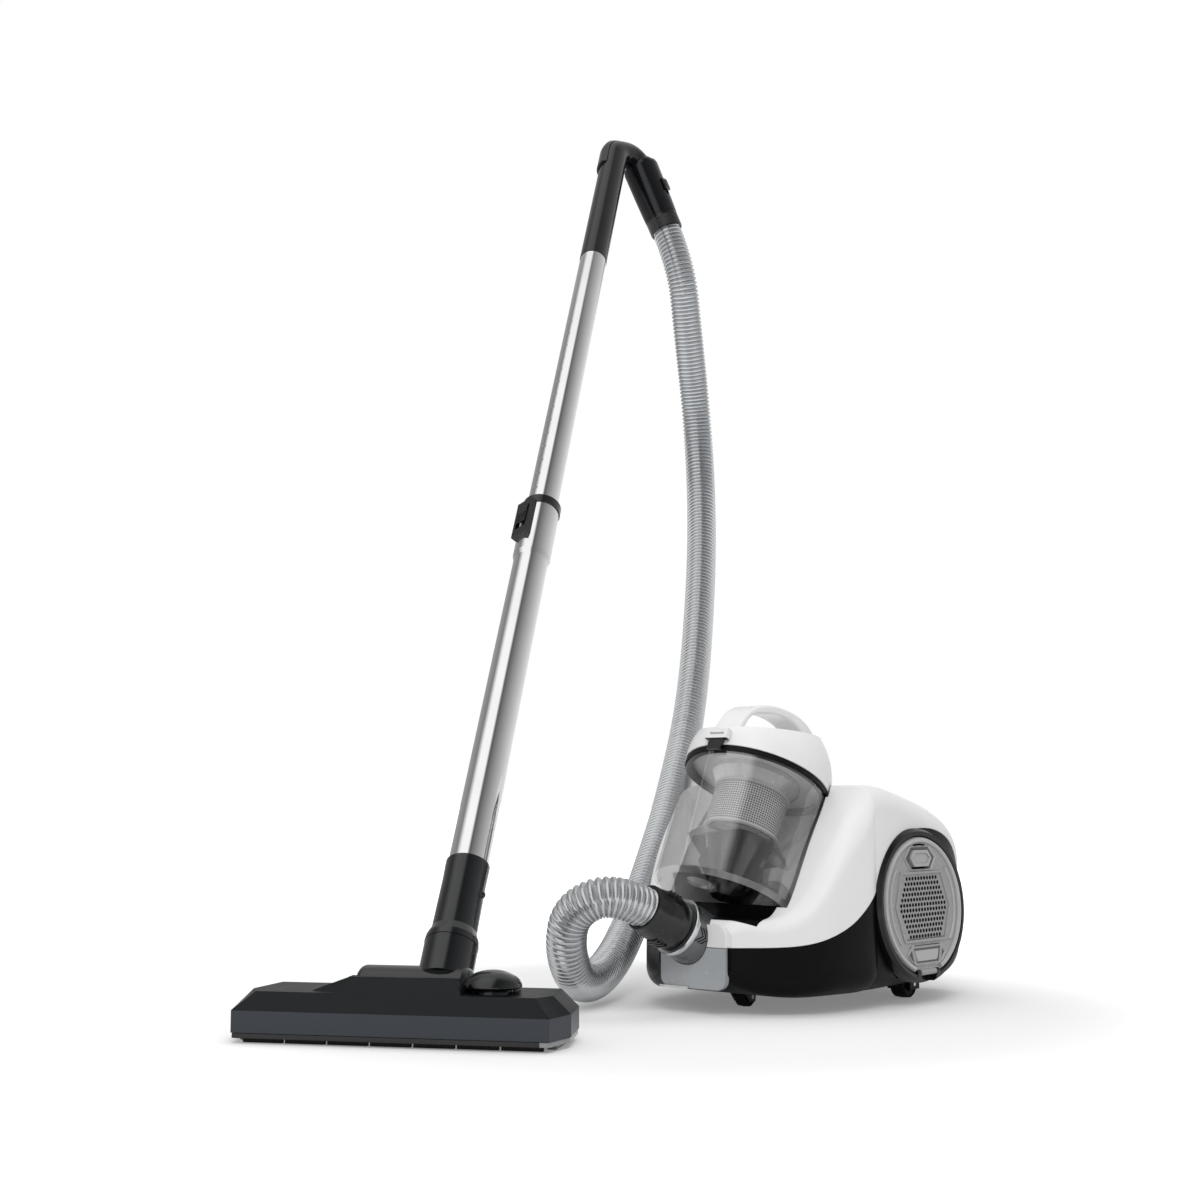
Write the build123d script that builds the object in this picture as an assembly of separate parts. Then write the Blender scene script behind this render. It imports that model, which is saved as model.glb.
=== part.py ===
"""Compact bagless canister vacuum cleaner, millimetres, +Z up, front of the canister towards -Y.

The set is drawn about the canister: x and y are measured from its centreline, below the centres of the two side
covers. As each piece is saved it is moved so that the origin lies on the floor, at the middle of the footprint of
the whole set without its hose.
"""
from build123d import *
from math import cos, pi, radians, sin, tan
import os

# ---------------------------------------------------------------- fits
running_gap = 0.3            # between curved faces that move on each other
pin_gap = 0.06               # radial gap round a pin or an axle
panel_gap = 0.4              # between mouldings that meet edge to edge
wall = 2.6                   # moulded walls of the canister
footprint_middle = (-147.4, -183.0)   # seen from the canister

# ---------------------------------------------------------------- canister
body_half_width = 118.0
nose_centre_y = -100.0       # centre of the rounded plan of the nose
nose_length = 122.0
body_rear_y = 110.0
base_z = 17.0
roof_z = 209.0
shoulder_radius = 24.0
nose_top_z = 88.0
seam_gap = 0.5               # between the dark base and the pale top shell
seam_front_z = 62.0

# ---------------------------------------------------------------- dust container
bin_rake = 27.0              # the container leans back by this angle
bin_top = (0.0, -120.0, 212.0)
bin_radius = 70.0
bin_height = 124.0
bin_wall = 2.2
bin_taper = 1.2              # the foot is this much smaller in radius
cradle_gap = 1.5
cradle_wall = 3.0
bin_floor = 3.0

# ---------------------------------------------------------------- lid, handle and filters
lid_rim = 3.0
lid_wall = 2.4
lid_front_z = 266.0
lid_fall = 6.5               # the lid's top falls to the rear by this angle
lid_dish = 11.0
handle_width = 30.0
handle_top_z = 288.0
handle_bar = 8.0
handle_round = 2.8
lid_overhang = 2.5           # the lid stands this far outside the container
shroud_radius = 36.0
shroud_height = 62.0
filter_radius = 46.0
filter_height = 14.0
filter_offset = 14.0         # the filter sits behind the hollow of the lid

# ---------------------------------------------------------------- side covers
cover_centre_z = 95.0
cover_y = -22.0
cover_face_x = 127.0         # outer face of the covers at their centre
cover_toe = 4.0              # the covers face slightly forwards
cover_camber = 3.5           # and slightly upwards
side_ring_radius = 73.5
cover_radius = 65.5
cover_thickness = 4.0
tab_travel = 3.0
grille_pitch = 5.0
grille_rows = 12
grille_widest = 16            # holes in the middle rows; each row further out has one fewer
grille_hole = 1.6

# ---------------------------------------------------------------- wheels
castor_y = -150.0
castor_trail = 9.0
castor_wheel_radius = 9.5
castor_wheel_width = 13.0
castor_well = 20.5            # radius of the recess the castor turns in
rear_wheel_x = 80.0
rear_wheel_y = 20.0
rear_wheel_radius = 14.0
rear_wheel_width = 16.0
axle_radius = 2.0

# ---------------------------------------------------------------- motor, reel and pedals
motor_y = -28.0
motor_z = 96.0
motor_radius = 50.0
motor_half_length = 52.0
motor_wall = 2.5
fan_radius = 42.0
reel_y = 78.0
reel_z = 88.0
reel_radius = 60.0
reel_hub_radius = 24.0
reel_width = 34.0
reel_flange = 2.0
cord_outlet_radius = 4.5
cord_outlet_x = 46.0
cord_outlet_z = 60.0
cord_outlet_length = 14.0
pedal_x = 56.0
pedal_y = 32.0
pedal_length = 104.0
pedal_width = 36.0
pedal_tilt = 11.5
pedal_travel = 4.0
pedal_stand = 3.5
board_z = 154.0              # shelf that carries the switch board

# ---------------------------------------------------------------- hose, cuff and collar
hose_radius = 19.0
hose_wall = 2.4
cuff_depth = 12.0            # the hose goes this far into the cuff
cuff_length = 55.0
cuff_radius = 22.0
cuff_bulge = 24.5
elbow_radius = 27.0
foot_seat_radius = 60.0      # dark seat under the container
collar_radius = 21.5

# ---------------------------------------------------------------- wand and floor head
wand_yaw = 28.0              # the floor head points this far to the canister's right
wand_lean = 36.2             # the tube leans back from upright by this angle
pivot = (-66.6, -482.2, 40.0)
barrel_radius = 20.0
barrel_left = 72.0           # the barrel is centred on the head, not on the neck
barrel_right = 26.0
neck_start = 42.0            # distances along the wand are measured from the pivot
neck_end = 124.0
neck_radius = 19.0
outer_tube_radius = 17.75
outer_tube_wall = 0.9
outer_tube_start = 100.0
outer_tube_end = 571.0
swage_length = 79.0          # the outer tube is wider over this length at its upper end
swage_radius = 19.4
inner_tube_radius = 16.0
inner_tube_wall = 1.1
tube_overlap = 36.0          # the inner tube reaches this far into the outer one
inner_tube_end = 1003.0
notch_count = 14
notch_pitch = 21.4
first_notch = 18.0           # above the end of the outer tube
notch_side = 237.0           # direction of the latch and the notches round the tube
latch_slide = 4.0
latch_length = 49.0
latch_width = 21.0
bushing_length = 60.0        # sleeve between the two tubes
handle_radius = 16.6
handle_bore = 13.2
handle_twist = 55.0
handle_rise = 235.0          # straight part of the handle above the tube
handle_back = 34.0
handle_crown = 30.0
handle_fold = 140.0
handle_bend = 24.0
grip_length = 105.0          # from the last bend to the start of the hose
sleeve_radius = 23.0
sleeve_start = 30.0          # measured from the last bend
slider_travel = 10.0

head_half_width = 134.0
head_offset = -28.0          # the head's middle lies this far left of the neck
head_front = 58.0
head_rear = 27.0
head_bottom = 9.0
head_top = 41.0
head_wall = 2.5
head_flare = 10.0
head_slope = 15.0             # the top is drawn in by this much at the front and the ends
head_waist = 27.0             # height of the upright front face
head_corner = 34.0            # where the flared ends are widest, behind the front
bristle_count = 7
bristle_height = 8.6
head_wheel_radius = 8.0
rocker_left = 33.0           # along the head, from the neck
rocker_right = 64.0
rocker_y = -9.5
rocker_height = 56.0
sole_bottom_z = 4.6
mouth_half_length = 100.0

# ------------------------------------------------------------------------------------- helpers


def spot(origin, z_dir, x_dir=None):
    """Location whose local Z points along z_dir."""
    if x_dir is None:
        return Plane(origin=origin, z_dir=z_dir).location
    return Plane(origin=origin, x_dir=x_dir, z_dir=z_dir).location


def rod(radius, start, end):
    start, end = Vector(*start), Vector(*end)
    length = (end - start).length
    return spot(start, end - start) * Cylinder(radius, length, align=(Align.CENTER, Align.CENTER, Align.MIN))


def pipe(outer, bore, start, end):
    return rod(outer, start, end) - rod(bore, start, end)


def turned(profile, place=Location()):
    """Solid turned about local Z from (radius, height) points."""
    face = make_face(Polyline(*[(r, 0, z) for r, z in profile], close=True))
    return place * revolve(face, Axis.Z, 360)


def block(x0, x1, y0, y1, z0, z1):
    return Pos((x0 + x1) / 2, (y0 + y1) / 2, (z0 + z1) / 2) * Box(x1 - x0, y1 - y0, z1 - z0)


def slab(points, plane, depth, both=False):
    """Extrude a closed polygon drawn on a plane."""
    return extrude(plane * make_face(Polyline(*points, close=True)), amount=depth, both=both)


def save(name, *solids):
    """Write one node, a single solid or a group of separate ones."""
    pieces = [s for shape in solids for s in shape.solids()]
    place = Pos(-footprint_middle[0], -footprint_middle[1], 0)
    pieces = [place * piece for piece in pieces]
    shape = pieces[0] if len(pieces) == 1 else Compound(children=pieces)
    export_step(shape, "parts/" + name + ".step")


os.makedirs("parts", exist_ok=True)

# ------------------------------------------------------------------------------------- frames
bin_axis = Vector(0, sin(radians(bin_rake)), cos(radians(bin_rake)))
bin_frame = spot(bin_top, bin_axis, (1, 0, 0))          # local z = 0 is the container's rim

wand_side = Vector(cos(radians(wand_yaw)), sin(radians(wand_yaw)), 0)
wand_back = Vector(-sin(radians(wand_yaw)), cos(radians(wand_yaw)), 0)
wand_axis = wand_back * sin(radians(wand_lean)) + Vector(0, 0, 1) * cos(radians(wand_lean))
wand_under = wand_axis.cross(wand_side)
pivot_point = Vector(*pivot)
wand_frame = spot(pivot_point, wand_axis, wand_side)    # local z = distance along the wand
inner_tube_start = outer_tube_end - tube_overlap
swage_start = outer_tube_end - swage_length
latch_to = outer_tube_end - 9.0
latch_from = latch_to + 2 - latch_length
head_frame = spot((pivot[0], pivot[1], 0), (0, 0, 1), wand_side)


def round_wand(angle):
    """Direction square to the wand, at an angle from its side direction."""
    return wand_side * cos(radians(angle)) + wand_under * sin(radians(angle))


fold_dir = round_wand(handle_twist)
grip_dir = fold_dir * sin(radians(handle_fold)) + wand_axis * cos(radians(handle_fold))
handle_foot = pivot_point + wand_axis * inner_tube_end
bend_one = handle_foot + wand_axis * handle_rise
bend_two = bend_one + fold_dir * handle_back + wand_axis * handle_crown
hose_start = bend_two + grip_dir * grip_length


def cover_frame(side):
    """Local z points out of the cover; local y points up it."""
    toe, camber = radians(cover_toe), radians(cover_camber)
    out = Vector(side * cos(toe) * cos(camber), -sin(toe) * cos(camber), sin(camber))
    forward = Vector(0, 0, 1).cross(out) if side > 0 else out.cross(Vector(0, 0, 1))
    x_dir = forward if side > 0 else forward * -1
    return spot((side * cover_face_x, cover_y, cover_centre_z), out, x_dir.normalized())


# ------------------------------------------------------------------------------------- canister shells


def nose_half_width(y):
    """Half the plan width of the rounded nose at a place ahead of its centre."""
    return body_half_width * (1 - ((y - nose_centre_y) / nose_length) ** 2) ** 0.5


def cross_section(y, half, bottom, top, corner, inset):
    """Upright section across the canister, with rounded corners."""
    section = RectangleRounded(2 * (half - inset), top - bottom - 2 * inset, corner - inset)
    return Plane(origin=(0, y, (top + bottom) / 2), x_dir=(1, 0, 0), z_dir=(0, -1, 0)) * section


def body_block(inset):
    """Outer form of the canister, or the same form with every face moved in."""
    front_y = nose_centre_y - nose_length + 2
    rear_y = body_rear_y + 2
    half = body_half_width
    nose = [(-92, half, base_z, roof_z + 1, shoulder_radius), (-118, nose_half_width(-118), base_z, 174, 22),
            (-148, nose_half_width(-148), base_z, 133, 20), (-176, nose_half_width(-176), base_z, 96, 18),
            (-204, nose_half_width(-204), base_z + 6, nose_top_z, 16), (front_y + inset, 42, 37, 82, 12)]
    rear = [(-92, half, base_z, roof_z + 1, shoulder_radius), (-50, half, base_z, roof_z - 1, shoulder_radius),
            (-10, half, base_z, roof_z - 9, 26), (40, half, base_z, roof_z - 22, 28),
            (80, half - 8, base_z + 2, 171, 30), (rear_y - inset, 88, 32, 140, 32)]
    form = loft([cross_section(*values, inset) for values in nose])
    return form + loft([cross_section(*values, inset) for values in rear])


seam_points = [(-240, seam_front_z), (-200, seam_front_z + 0.5), (-180, 64), (-160, 68.5), (-145, 74), (-130, 81),
               (-107, 98), (-84, 121), (-64, 146), (-40, 162), (-11, 168), (30, 164), (62, 148), (90, 118), (130, 104)]


def seam_side(gap, far_z):
    """Space on one side of the line where the dark base meets the pale top."""
    line = Spline(*[(y, z + gap) for y, z in seam_points])
    face = make_face(line + Polyline(line @ 1, (130, far_z), (-240, far_z), line @ 0))
    return extrude(Plane.YZ * face, amount=160, both=True)


def above_seam(gap):
    return seam_side(gap, 320)


def below_seam():
    return seam_side(0, -20)


outer_form = body_block(0)
inner_form = body_block(wall)
cradle_bore = bin_frame * Pos(0, 0, -bin_height - 2) * Cylinder(
    bin_radius + cradle_gap, 400, align=(Align.CENTER, Align.CENTER, Align.MIN))
cradle_bore += bin_frame * Pos(0, 0, -1) * Cylinder(
    bin_radius + lid_overhang + cradle_gap, 400, align=(Align.CENTER, Align.CENTER, Align.MIN))
cradle_body = bin_frame * Pos(0, 0, -bin_height - 2 - cradle_wall) * Cylinder(
    bin_radius + lid_overhang + cradle_gap + cradle_wall, 400, align=(Align.CENTER, Align.CENTER, Align.MIN))
shell = (outer_form - inner_form) + (cradle_body & outer_form)
shell -= cradle_bore

ring_seats = []
for side in (1, -1):
    ring_seats.append(cover_frame(side) * Pos(0, 0, -16) * Cylinder(
        side_ring_radius + panel_gap, 60, align=(Align.CENTER, Align.CENTER, Align.MIN)))
for seat in ring_seats:
    shell -= seat

upper_shell = shell & above_seam(seam_gap)
lower_shell = shell & below_seam()

# nose: the container's foot stands on a dark seat, and the hose elbow leaves below it
seat_depth = 30.0
seat = bin_frame * Pos(0, 0, -bin_height - seat_depth) * Cylinder(
    foot_seat_radius, seat_depth - running_gap, align=(Align.CENTER, Align.CENTER, Align.MIN))
seat &= outer_form
lower_shell += seat
for x in (-43, 43):
    rib = block(x - 3, x + 3, -196, -112, base_z + 1, 96) & outer_form
    lower_shell += (rib & below_seam()) - cradle_bore
upper_shell -= bin_frame * Pos(0, 0, -bin_height - seat_depth) * Cylinder(
    foot_seat_radius + panel_gap, seat_depth + 10, align=(Align.CENTER, Align.CENTER, Align.MIN))

cuff_axis = Vector(-0.216, -0.864, 0.4535).normalized()      # out of the elbow, along the cuff
hose_end = Vector(-19, -258, 94)
cuff_mouth = hose_end + cuff_axis * cuff_depth
cuff_root = cuff_mouth - cuff_axis * cuff_length
cuff_frame = spot(cuff_root, cuff_axis)                      # local z = 0 is the cuff's inner end
elbow_in = cuff_root - cuff_axis * 34

plate_y = nose_centre_y - nose_length - 2.0
plate_depth = 6.0
plate_half = 37.0
plate_bottom_z = 24.0
trim_face = Plane(origin=(0, plate_y + plate_depth, (plate_bottom_z + nose_top_z - 5) / 2), z_dir=(0, -1, 0),
                  x_dir=(1, 0, 0))
trim_plate = extrude(trim_face * RectangleRounded(2 * plate_half, nose_top_z - 5 - plate_bottom_z, 10), plate_depth)
elbow_channel = rod(elbow_radius + panel_gap, elbow_in - cuff_axis * 40, cuff_root + cuff_axis * 20)
trim_plate -= elbow_channel
trim_plate -= outer_form
trim_white = trim_plate & block(-60, 60, -260, -180, seam_front_z + seam_gap, 120)
front_trim = trim_plate & block(-60, 60, -260, -180, 0, seam_front_z)

elbow = turned([(cuff_radius + 3.4, -34), (elbow_radius, -34), (elbow_radius, 9), (elbow_radius - 1.6, 12),
                (cuff_radius - 1.2, 12), (cuff_radius - 1.2, 2.4), (cuff_radius - 3, 1.2), (cuff_radius - 3, -20),
                (cuff_radius + 3.4, -20)], cuff_frame)
elbow_block = turned([(0, -34), (elbow_radius, -34), (elbow_radius, -18), (0, -18)], cuff_frame)
duct_bore = rod(15, elbow_in - cuff_axis * 30, cuff_root)
elbow = elbow + (elbow_block - duct_bore)
lower_shell -= rod(elbow_radius + panel_gap, elbow_in, cuff_root + cuff_axis * 30)
upper_shell -= rod(elbow_radius + panel_gap, elbow_in, cuff_root + cuff_axis * 30)
upper_shell += trim_white
lower_shell -= duct_bore

lower_shell -= trim_plate

# bosses and floors inside the base that carry the wheels, the motor and the reel
castor_roof_z = base_z + 6.5
castor_pin_radius = 4.0
castor_pin_top = base_z + 18.0
lower_shell += rod(castor_well + wall, (0, castor_y, base_z + 0.5), (0, castor_y, castor_roof_z + wall))
lower_shell += rod(9, (0, castor_y, base_z + 0.5), (0, castor_y, castor_pin_top + 3))
lower_shell -= rod(castor_well, (0, castor_y, 0), (0, castor_y, castor_roof_z))
lower_shell -= rod(castor_pin_radius + pin_gap, (0, castor_y, 0), (0, castor_y, castor_pin_top + 1))
axle_boss_z = rear_wheel_radius
boss_gap = rear_wheel_width / 2 + 1.0
for side in (1, -1):
    for inner in (1, -1):
        middle = side * rear_wheel_x + inner * (boss_gap + 2)
        bracket = block(middle - 2, middle + 2, rear_wheel_y - 9, rear_wheel_y + 9, 9, base_z + 10)
        lower_shell += bracket
    wheel_well = block(side * rear_wheel_x - boss_gap, side * rear_wheel_x + boss_gap,
                       rear_wheel_y - 17, rear_wheel_y + 17, 0, base_z + 14)
    well_roof = block(side * rear_wheel_x - boss_gap - 4, side * rear_wheel_x + boss_gap + 4,
                      rear_wheel_y - 19, rear_wheel_y + 19, base_z + 1, base_z + 16)
    lower_shell += well_roof
    lower_shell -= wheel_well
    lower_shell -= rod(axle_radius + pin_gap, (side * rear_wheel_x - 16, rear_wheel_y, axle_boss_z),
                       (side * rear_wheel_x + 16, rear_wheel_y, axle_boss_z))

motor_centre = (0, motor_y, motor_z)
cradle_z = motor_z - motor_radius - 4
for x in (-34, 34):
    lower_shell += block(x - 3, x + 3, motor_y - 24, motor_y + 24, base_z + 1, cradle_z)
for x in (-20, 20):
    lower_shell += block(x - 3, x + 3, reel_y - 8, reel_y + 8, base_z + 1, reel_z - reel_radius - 2)

# ------------------------------------------------------------------------------------- dust container
foot_radius = bin_radius - bin_taper
container = turned([
    (0, -bin_height), (foot_radius - 5, -bin_height), (foot_radius, -bin_height + 5), (bin_radius, 0),
    (bin_radius - bin_wall, 0), (foot_radius - bin_wall, -bin_height + 6),
    (foot_radius - bin_wall - 3, -bin_height + bin_floor), (0, -bin_height + bin_floor)], bin_frame)
container -= bin_frame * Pos(0, -40, -bin_height) * Cylinder(14, 20)

seal = turned([(bin_radius - 6, 0.2), (bin_radius + 1.6, 0.2), (bin_radius + 1.6, 5), (bin_radius - 6, 5)], bin_frame)

# lid: a drum in line with the container, cut by a nearly level top
lid_outer = bin_radius + lid_overhang
lid_floor = 5.2
lid_straight = 13.0
lid_top_plane = Plane(origin=(0, -165, lid_front_z), x_dir=(1, 0, 0),
                      z_dir=(0, sin(radians(lid_fall)), cos(radians(lid_fall))))
lid_above = extrude(lid_top_plane * Rectangle(400, 500), 200)
lid_above_skin = Pos(0, 0, -lid_wall) * lid_above


def lid_form(inset, floor):
    """The lid's drum, which draws in as it rises, smaller by inset."""
    rise = [(lid_outer, lid_straight), (lid_outer - 2.5, 28), (lid_outer - 9, 43), (lid_outer - 19, 57),
            (lid_outer - 33, 72)]
    side = Spline(*[(r - inset, 0, z) for r, z in rise], tangents=[(0, 0, 1), (-1, 0, 1)])
    foot = Polyline((rise[-1][0] - inset, 0, rise[-1][1]), (0, 0, rise[-1][1]), (0, 0, floor),
                    (lid_outer - inset, 0, floor), (lid_outer - inset, 0, lid_straight))
    return bin_frame * revolve(make_face(side + foot), Axis.Z, 360)


lid_envelope = lid_form(0, lid_floor) - lid_above
lid = lid_envelope - (lid_form(lid_wall, lid_floor + lid_rim) - lid_above_skin)
dish = lid_top_plane * Pos(0, 52, -lid_dish + 60) * extrude(SlotOverall(84, 50, rotation=90), 60, both=True)
dish_skin = lid_top_plane * Pos(0, 52, -lid_dish - lid_wall + 60) * extrude(SlotOverall(89, 55, rotation=90), 60,
                                                                          both=True)
lid = (lid + (dish_skin & lid_envelope)) - dish
lid -= turned([(0, 0), (24, 0), (24, lid_floor + lid_rim + 1), (0, lid_floor + lid_rim + 1)], bin_frame)

# carry handle: a slim band that rises from the lid's front and runs down its rear
arch_outer = Spline((-175, 250), (-165, 268), (-150, handle_top_z - 7), (-128, handle_top_z), (-102, handle_top_z),
                    (-74, handle_top_z - 5), (-48, 272), (-33, 257), (-28, 240), (-36, 222))
arch_inner = Spline((-164, 250), (-157, 266), (-144, handle_top_z - handle_bar - 3),
                    (-126, handle_top_z - handle_bar), (-104, handle_top_z - handle_bar),
                    (-79, handle_top_z - handle_bar - 5), (-58, 264), (-48, 250), (-50, 222))
arch = make_face(arch_outer + Line((-36, 222), (-50, 222)) + arch_inner + Line((-164, 250), (-175, 250)))
carry_handle = extrude(Plane.YZ * arch, amount=handle_width / 2, both=True)
carry_handle = fillet([e for e in carry_handle.edges() if e.length > 60], handle_round)
carry_handle -= lid_envelope

# release latch: a rocking block on the front of the lid, with its hook below
latch_place = bin_frame * Pos(0, -lid_outer - 0.2, lid_floor + 2)
latch_block = latch_place * block(-13, 13, -5.5, -0.2, 2, 12)
latch_block -= latch_place * block(-8, 8, -6, -3, 6, 8)
latch_hook = latch_place * block(-8, 8, -4.5, -1.0, -9, 2)
release_latch = latch_block + latch_hook

# cyclone: mesh shroud, skirt and cone under the lid
shroud_top = 5.0
shroud_foot = shroud_top - shroud_height
shroud = turned([(shroud_radius - 1.6, shroud_foot), (shroud_radius, shroud_foot), (shroud_radius, -10),
                 (shroud_radius + 8, 0), (shroud_radius + 8, shroud_top), (shroud_radius - 1.6, shroud_top)], bin_frame)
mesh_cutters = []
for row in range(7):
    for column in range(18):
        turn = column * 20 + (row % 2) * 10
        mesh_cutters.append(bin_frame * Rot(0, 0, turn) * Pos(shroud_radius - 1, 0, -17 - row * 5.6) * Box(6, 7, 3))
shroud -= Compound(children=mesh_cutters)
skirt = turned([(shroud_radius - 1.6, shroud_foot - 0.2), (shroud_radius - 1.6, shroud_foot - 8),
                (shroud_radius + 14, shroud_foot - 16), (shroud_radius + 15.5, shroud_foot - 15),
                (shroud_radius + 3, shroud_foot - 6), (shroud_radius + 3, shroud_foot - 0.2)], bin_frame)
for turn in range(0, 360, 60):
    skirt -= bin_frame * Rot(0, 0, turn) * Pos(shroud_radius + 18, 0, shroud_foot - 14) * Cylinder(9, 20)
cone_top = shroud_foot - 0.4
cone = turned([(shroud_radius - 3.6, cone_top + 10), (shroud_radius - 2.0, cone_top + 10),
               (shroud_radius - 2.0, cone_top - 4), (17, -bin_height + bin_floor + 8),
               (13, -bin_height + bin_floor + 0.3), (11, -bin_height + bin_floor + 0.3),
               (15, -bin_height + bin_floor + 8), (shroud_radius - 3.6, cone_top - 4)], bin_frame)
for turn in range(0, 360, 45):
    fin = slab([(16.6, -bin_height + 12), (33.0, -bin_height + 30), (16.6 + 12.0, -bin_height + 46)],
               Plane.XZ, 0.8, both=True)
    cone += bin_frame * Rot(0, 0, turn) * fin
filter_foam = bin_frame * Pos(0, filter_offset, lid_floor + lid_rim + 0.3) * (
    Cylinder(filter_radius, filter_height, align=(Align.CENTER, Align.CENTER, Align.MIN))
    - Cylinder(filter_radius - 22, filter_height, align=(Align.CENTER, Align.CENTER, Align.MIN)))

save("dust_container", container)
save("lid_seal", seal)
save("container_lid", lid)
save("carry_handle", carry_handle)
save("release_latch", release_latch)
save("cyclone_shroud", shroud)
save("shroud_skirt", skirt)
save("cyclone_cone", cone)
save("foam_filter", filter_foam)

# ------------------------------------------------------------------------------------- side covers


def grille_panel(size):
    """Six-sided outline round the grille holes."""
    return make_face(Polyline((-33 * size, 31 * size), (33 * size, 31 * size), (44 * size, 0), (33 * size, -31 * size),
                              (-33 * size, -31 * size), (-44 * size, 0), close=True))


def tab_outline(inset):
    """Six-sided thumb tab."""
    return make_face(Polyline(
        (-12 + inset, 53 - inset), (12 - inset, 53 - inset), (18 - inset, 45), (12 - inset, 37 + inset),
        (-12 + inset, 37 + inset), (-18 + inset, 45), close=True))


def side_parts(side):
    """Ring, cover, tab and filter of one side, in that order."""
    frame = cover_frame(side)
    ring = turned([(cover_radius + 1.0, -12), (side_ring_radius, -12), (side_ring_radius, -1.5),
                   (side_ring_radius - 2.5, 2.0), (cover_radius + 2.2, 2.0), (cover_radius + 1.0, 0.8)], frame)
    back = frame * Pos(0, 0, -12) * Cylinder(side_ring_radius, 3, align=(Align.CENTER, Align.CENTER, Align.MIN))
    back -= frame * Pos(0, 0, -13) * Cylinder(52, 6, align=(Align.CENTER, Align.CENTER, Align.MIN))
    ring += back
    knuckle_y = -cover_radius + 2.5
    ring -= frame * block(-13, 13, -side_ring_radius - 1, -cover_radius + 8, -7, 8)
    for middle in (-16.2, 16.2):
        ring += frame * block(middle - 2.8, middle + 2.8, knuckle_y - 4, knuckle_y + 1.8, -9, 0)
        ring += frame * block(middle - 2.8, middle + 2.8, knuckle_y - 4, knuckle_y, 0, 2.6)
        ring += frame * Pos(middle, knuckle_y, 0) * Rot(0, 90, 0) * Cylinder(2.6, 5.6)
    ring += frame * Pos(0, knuckle_y, 0) * Rot(0, 90, 0) * Cylinder(1.5, 38)

    disc = frame * Pos(0, 0, -cover_thickness + 0.8) * Cylinder(
        cover_radius, cover_thickness, align=(Align.CENTER, Align.CENTER, Align.MIN))
    disc -= frame * block(-19.6, 19.6, -cover_radius - 2, -cover_radius + 5.4, -8, 8)
    disc += frame * block(-12.8, 12.8, -cover_radius + 1.5, -cover_radius + 6, -3.2, 0.8)
    disc += frame * Pos(0, knuckle_y, 0) * Rot(0, 90, 0) * Cylinder(3.0, 25.6)
    disc -= frame * Pos(0, knuckle_y, 0) * Rot(0, 90, 0) * Cylinder(1.5 + pin_gap, 60)
    holes = []
    for row in range(grille_rows):
        y = 26 - row * grille_pitch
        count = grille_widest - int(abs(row - (grille_rows - 1) / 2))
        for column in range(count):
            x = (column - (count - 1) / 2) * grille_pitch
            holes.append(frame * Pos(x, y, 0) * Cylinder(grille_hole, 12))
    disc -= Compound(children=holes)
    disc += frame * Pos(0, -1, 0.6) * (extrude(grille_panel(1.08), 1.4) - extrude(grille_panel(1.0), 1.4))
    disc += frame * Pos(0, 0, 0.6) * extrude(make_face(Polyline(
        (-22, -56), (22, -56), (27, -38), (-27, -38), close=True)), 1.4)
    disc -= frame * Pos(0, 0, 0.7) * extrude(make_face(Polyline(
        (-19, -54), (19, -54), (23, -40), (-23, -40), close=True)), 2)
    reach, low = 18 + panel_gap, -tab_travel - panel_gap
    tab_window = extrude(make_face(Polyline(
        (-13, 53 + panel_gap), (13, 53 + panel_gap), (reach, 45), (reach, 45 + low), (13, 37 + low), (-13, 37 + low),
        (-reach, 45 + low), (-reach, 45), close=True)), 16)
    disc -= frame * Pos(0, 0, -8) * tab_window
    tab = frame * (Pos(0, 0, -2.6) * extrude(tab_outline(0), 5.2) + block(-6, 6, 52, 63, -2.6, -0.6))
    disc -= frame * block(-6.5, 6.5, 53, cover_radius + 2, -3.3, -0.2)
    tab -= frame * Pos(0, 0, 1.4) * extrude(tab_outline(3), 4)
    rim = frame * (block(-19.5, 19.5, 31, 56, -cover_thickness - 1.2, -cover_thickness + 0.8)
                   - block(-15, 15, 35, 52, -8, 8))
    disc += rim
    pad = frame * Pos(0, 0, -34) * Cylinder(51.7, 24, align=(Align.CENTER, Align.CENTER, Align.MIN))
    return ring, disc, tab, pad


side_names = {1: "right", -1: "left"}
filter_pads = []
for side in (1, -1):
    ring, disc, tab, pad = side_parts(side)
    save("side_ring_" + side_names[side], ring)
    save("side_cover_" + side_names[side], disc)
    save("cover_tab_" + side_names[side], tab)
    filter_pads.append(pad)
save("exhaust_filters", *filter_pads)

# ------------------------------------------------------------------------------------- wheels
fork_top = castor_roof_z - 0.6
wheel_y = castor_y + castor_trail
fork = rod(17, (0, castor_y, fork_top - 3), (0, castor_y, fork_top))
fork += rod(castor_pin_radius, (0, castor_y, fork_top - 1), (0, castor_y, castor_pin_top))
for side in (1, -1):
    inner = side * (castor_wheel_width / 2 + 0.6)
    cheek = slab([(castor_y - 9, fork_top - 1), (wheel_y - 4, castor_wheel_radius - 4.5),
                  (wheel_y + 4, castor_wheel_radius - 4.5), (wheel_y + 7, fork_top - 1)],
                 Plane(origin=(inner, 0, 0), x_dir=(0, 1, 0), z_dir=(1, 0, 0)), side * 2.4)
    fork += cheek
fork -= rod(castor_wheel_radius + 1.2, (-castor_wheel_width / 2 - 0.6, wheel_y, castor_wheel_radius),
            (castor_wheel_width / 2 + 0.6, wheel_y, castor_wheel_radius))
fork -= rod(axle_radius, (-20, wheel_y, castor_wheel_radius), (20, wheel_y, castor_wheel_radius))
castor_axle = rod(axle_radius, (-castor_wheel_width / 2 - 3, wheel_y, castor_wheel_radius),
                  (castor_wheel_width / 2 + 3, wheel_y, castor_wheel_radius))


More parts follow.
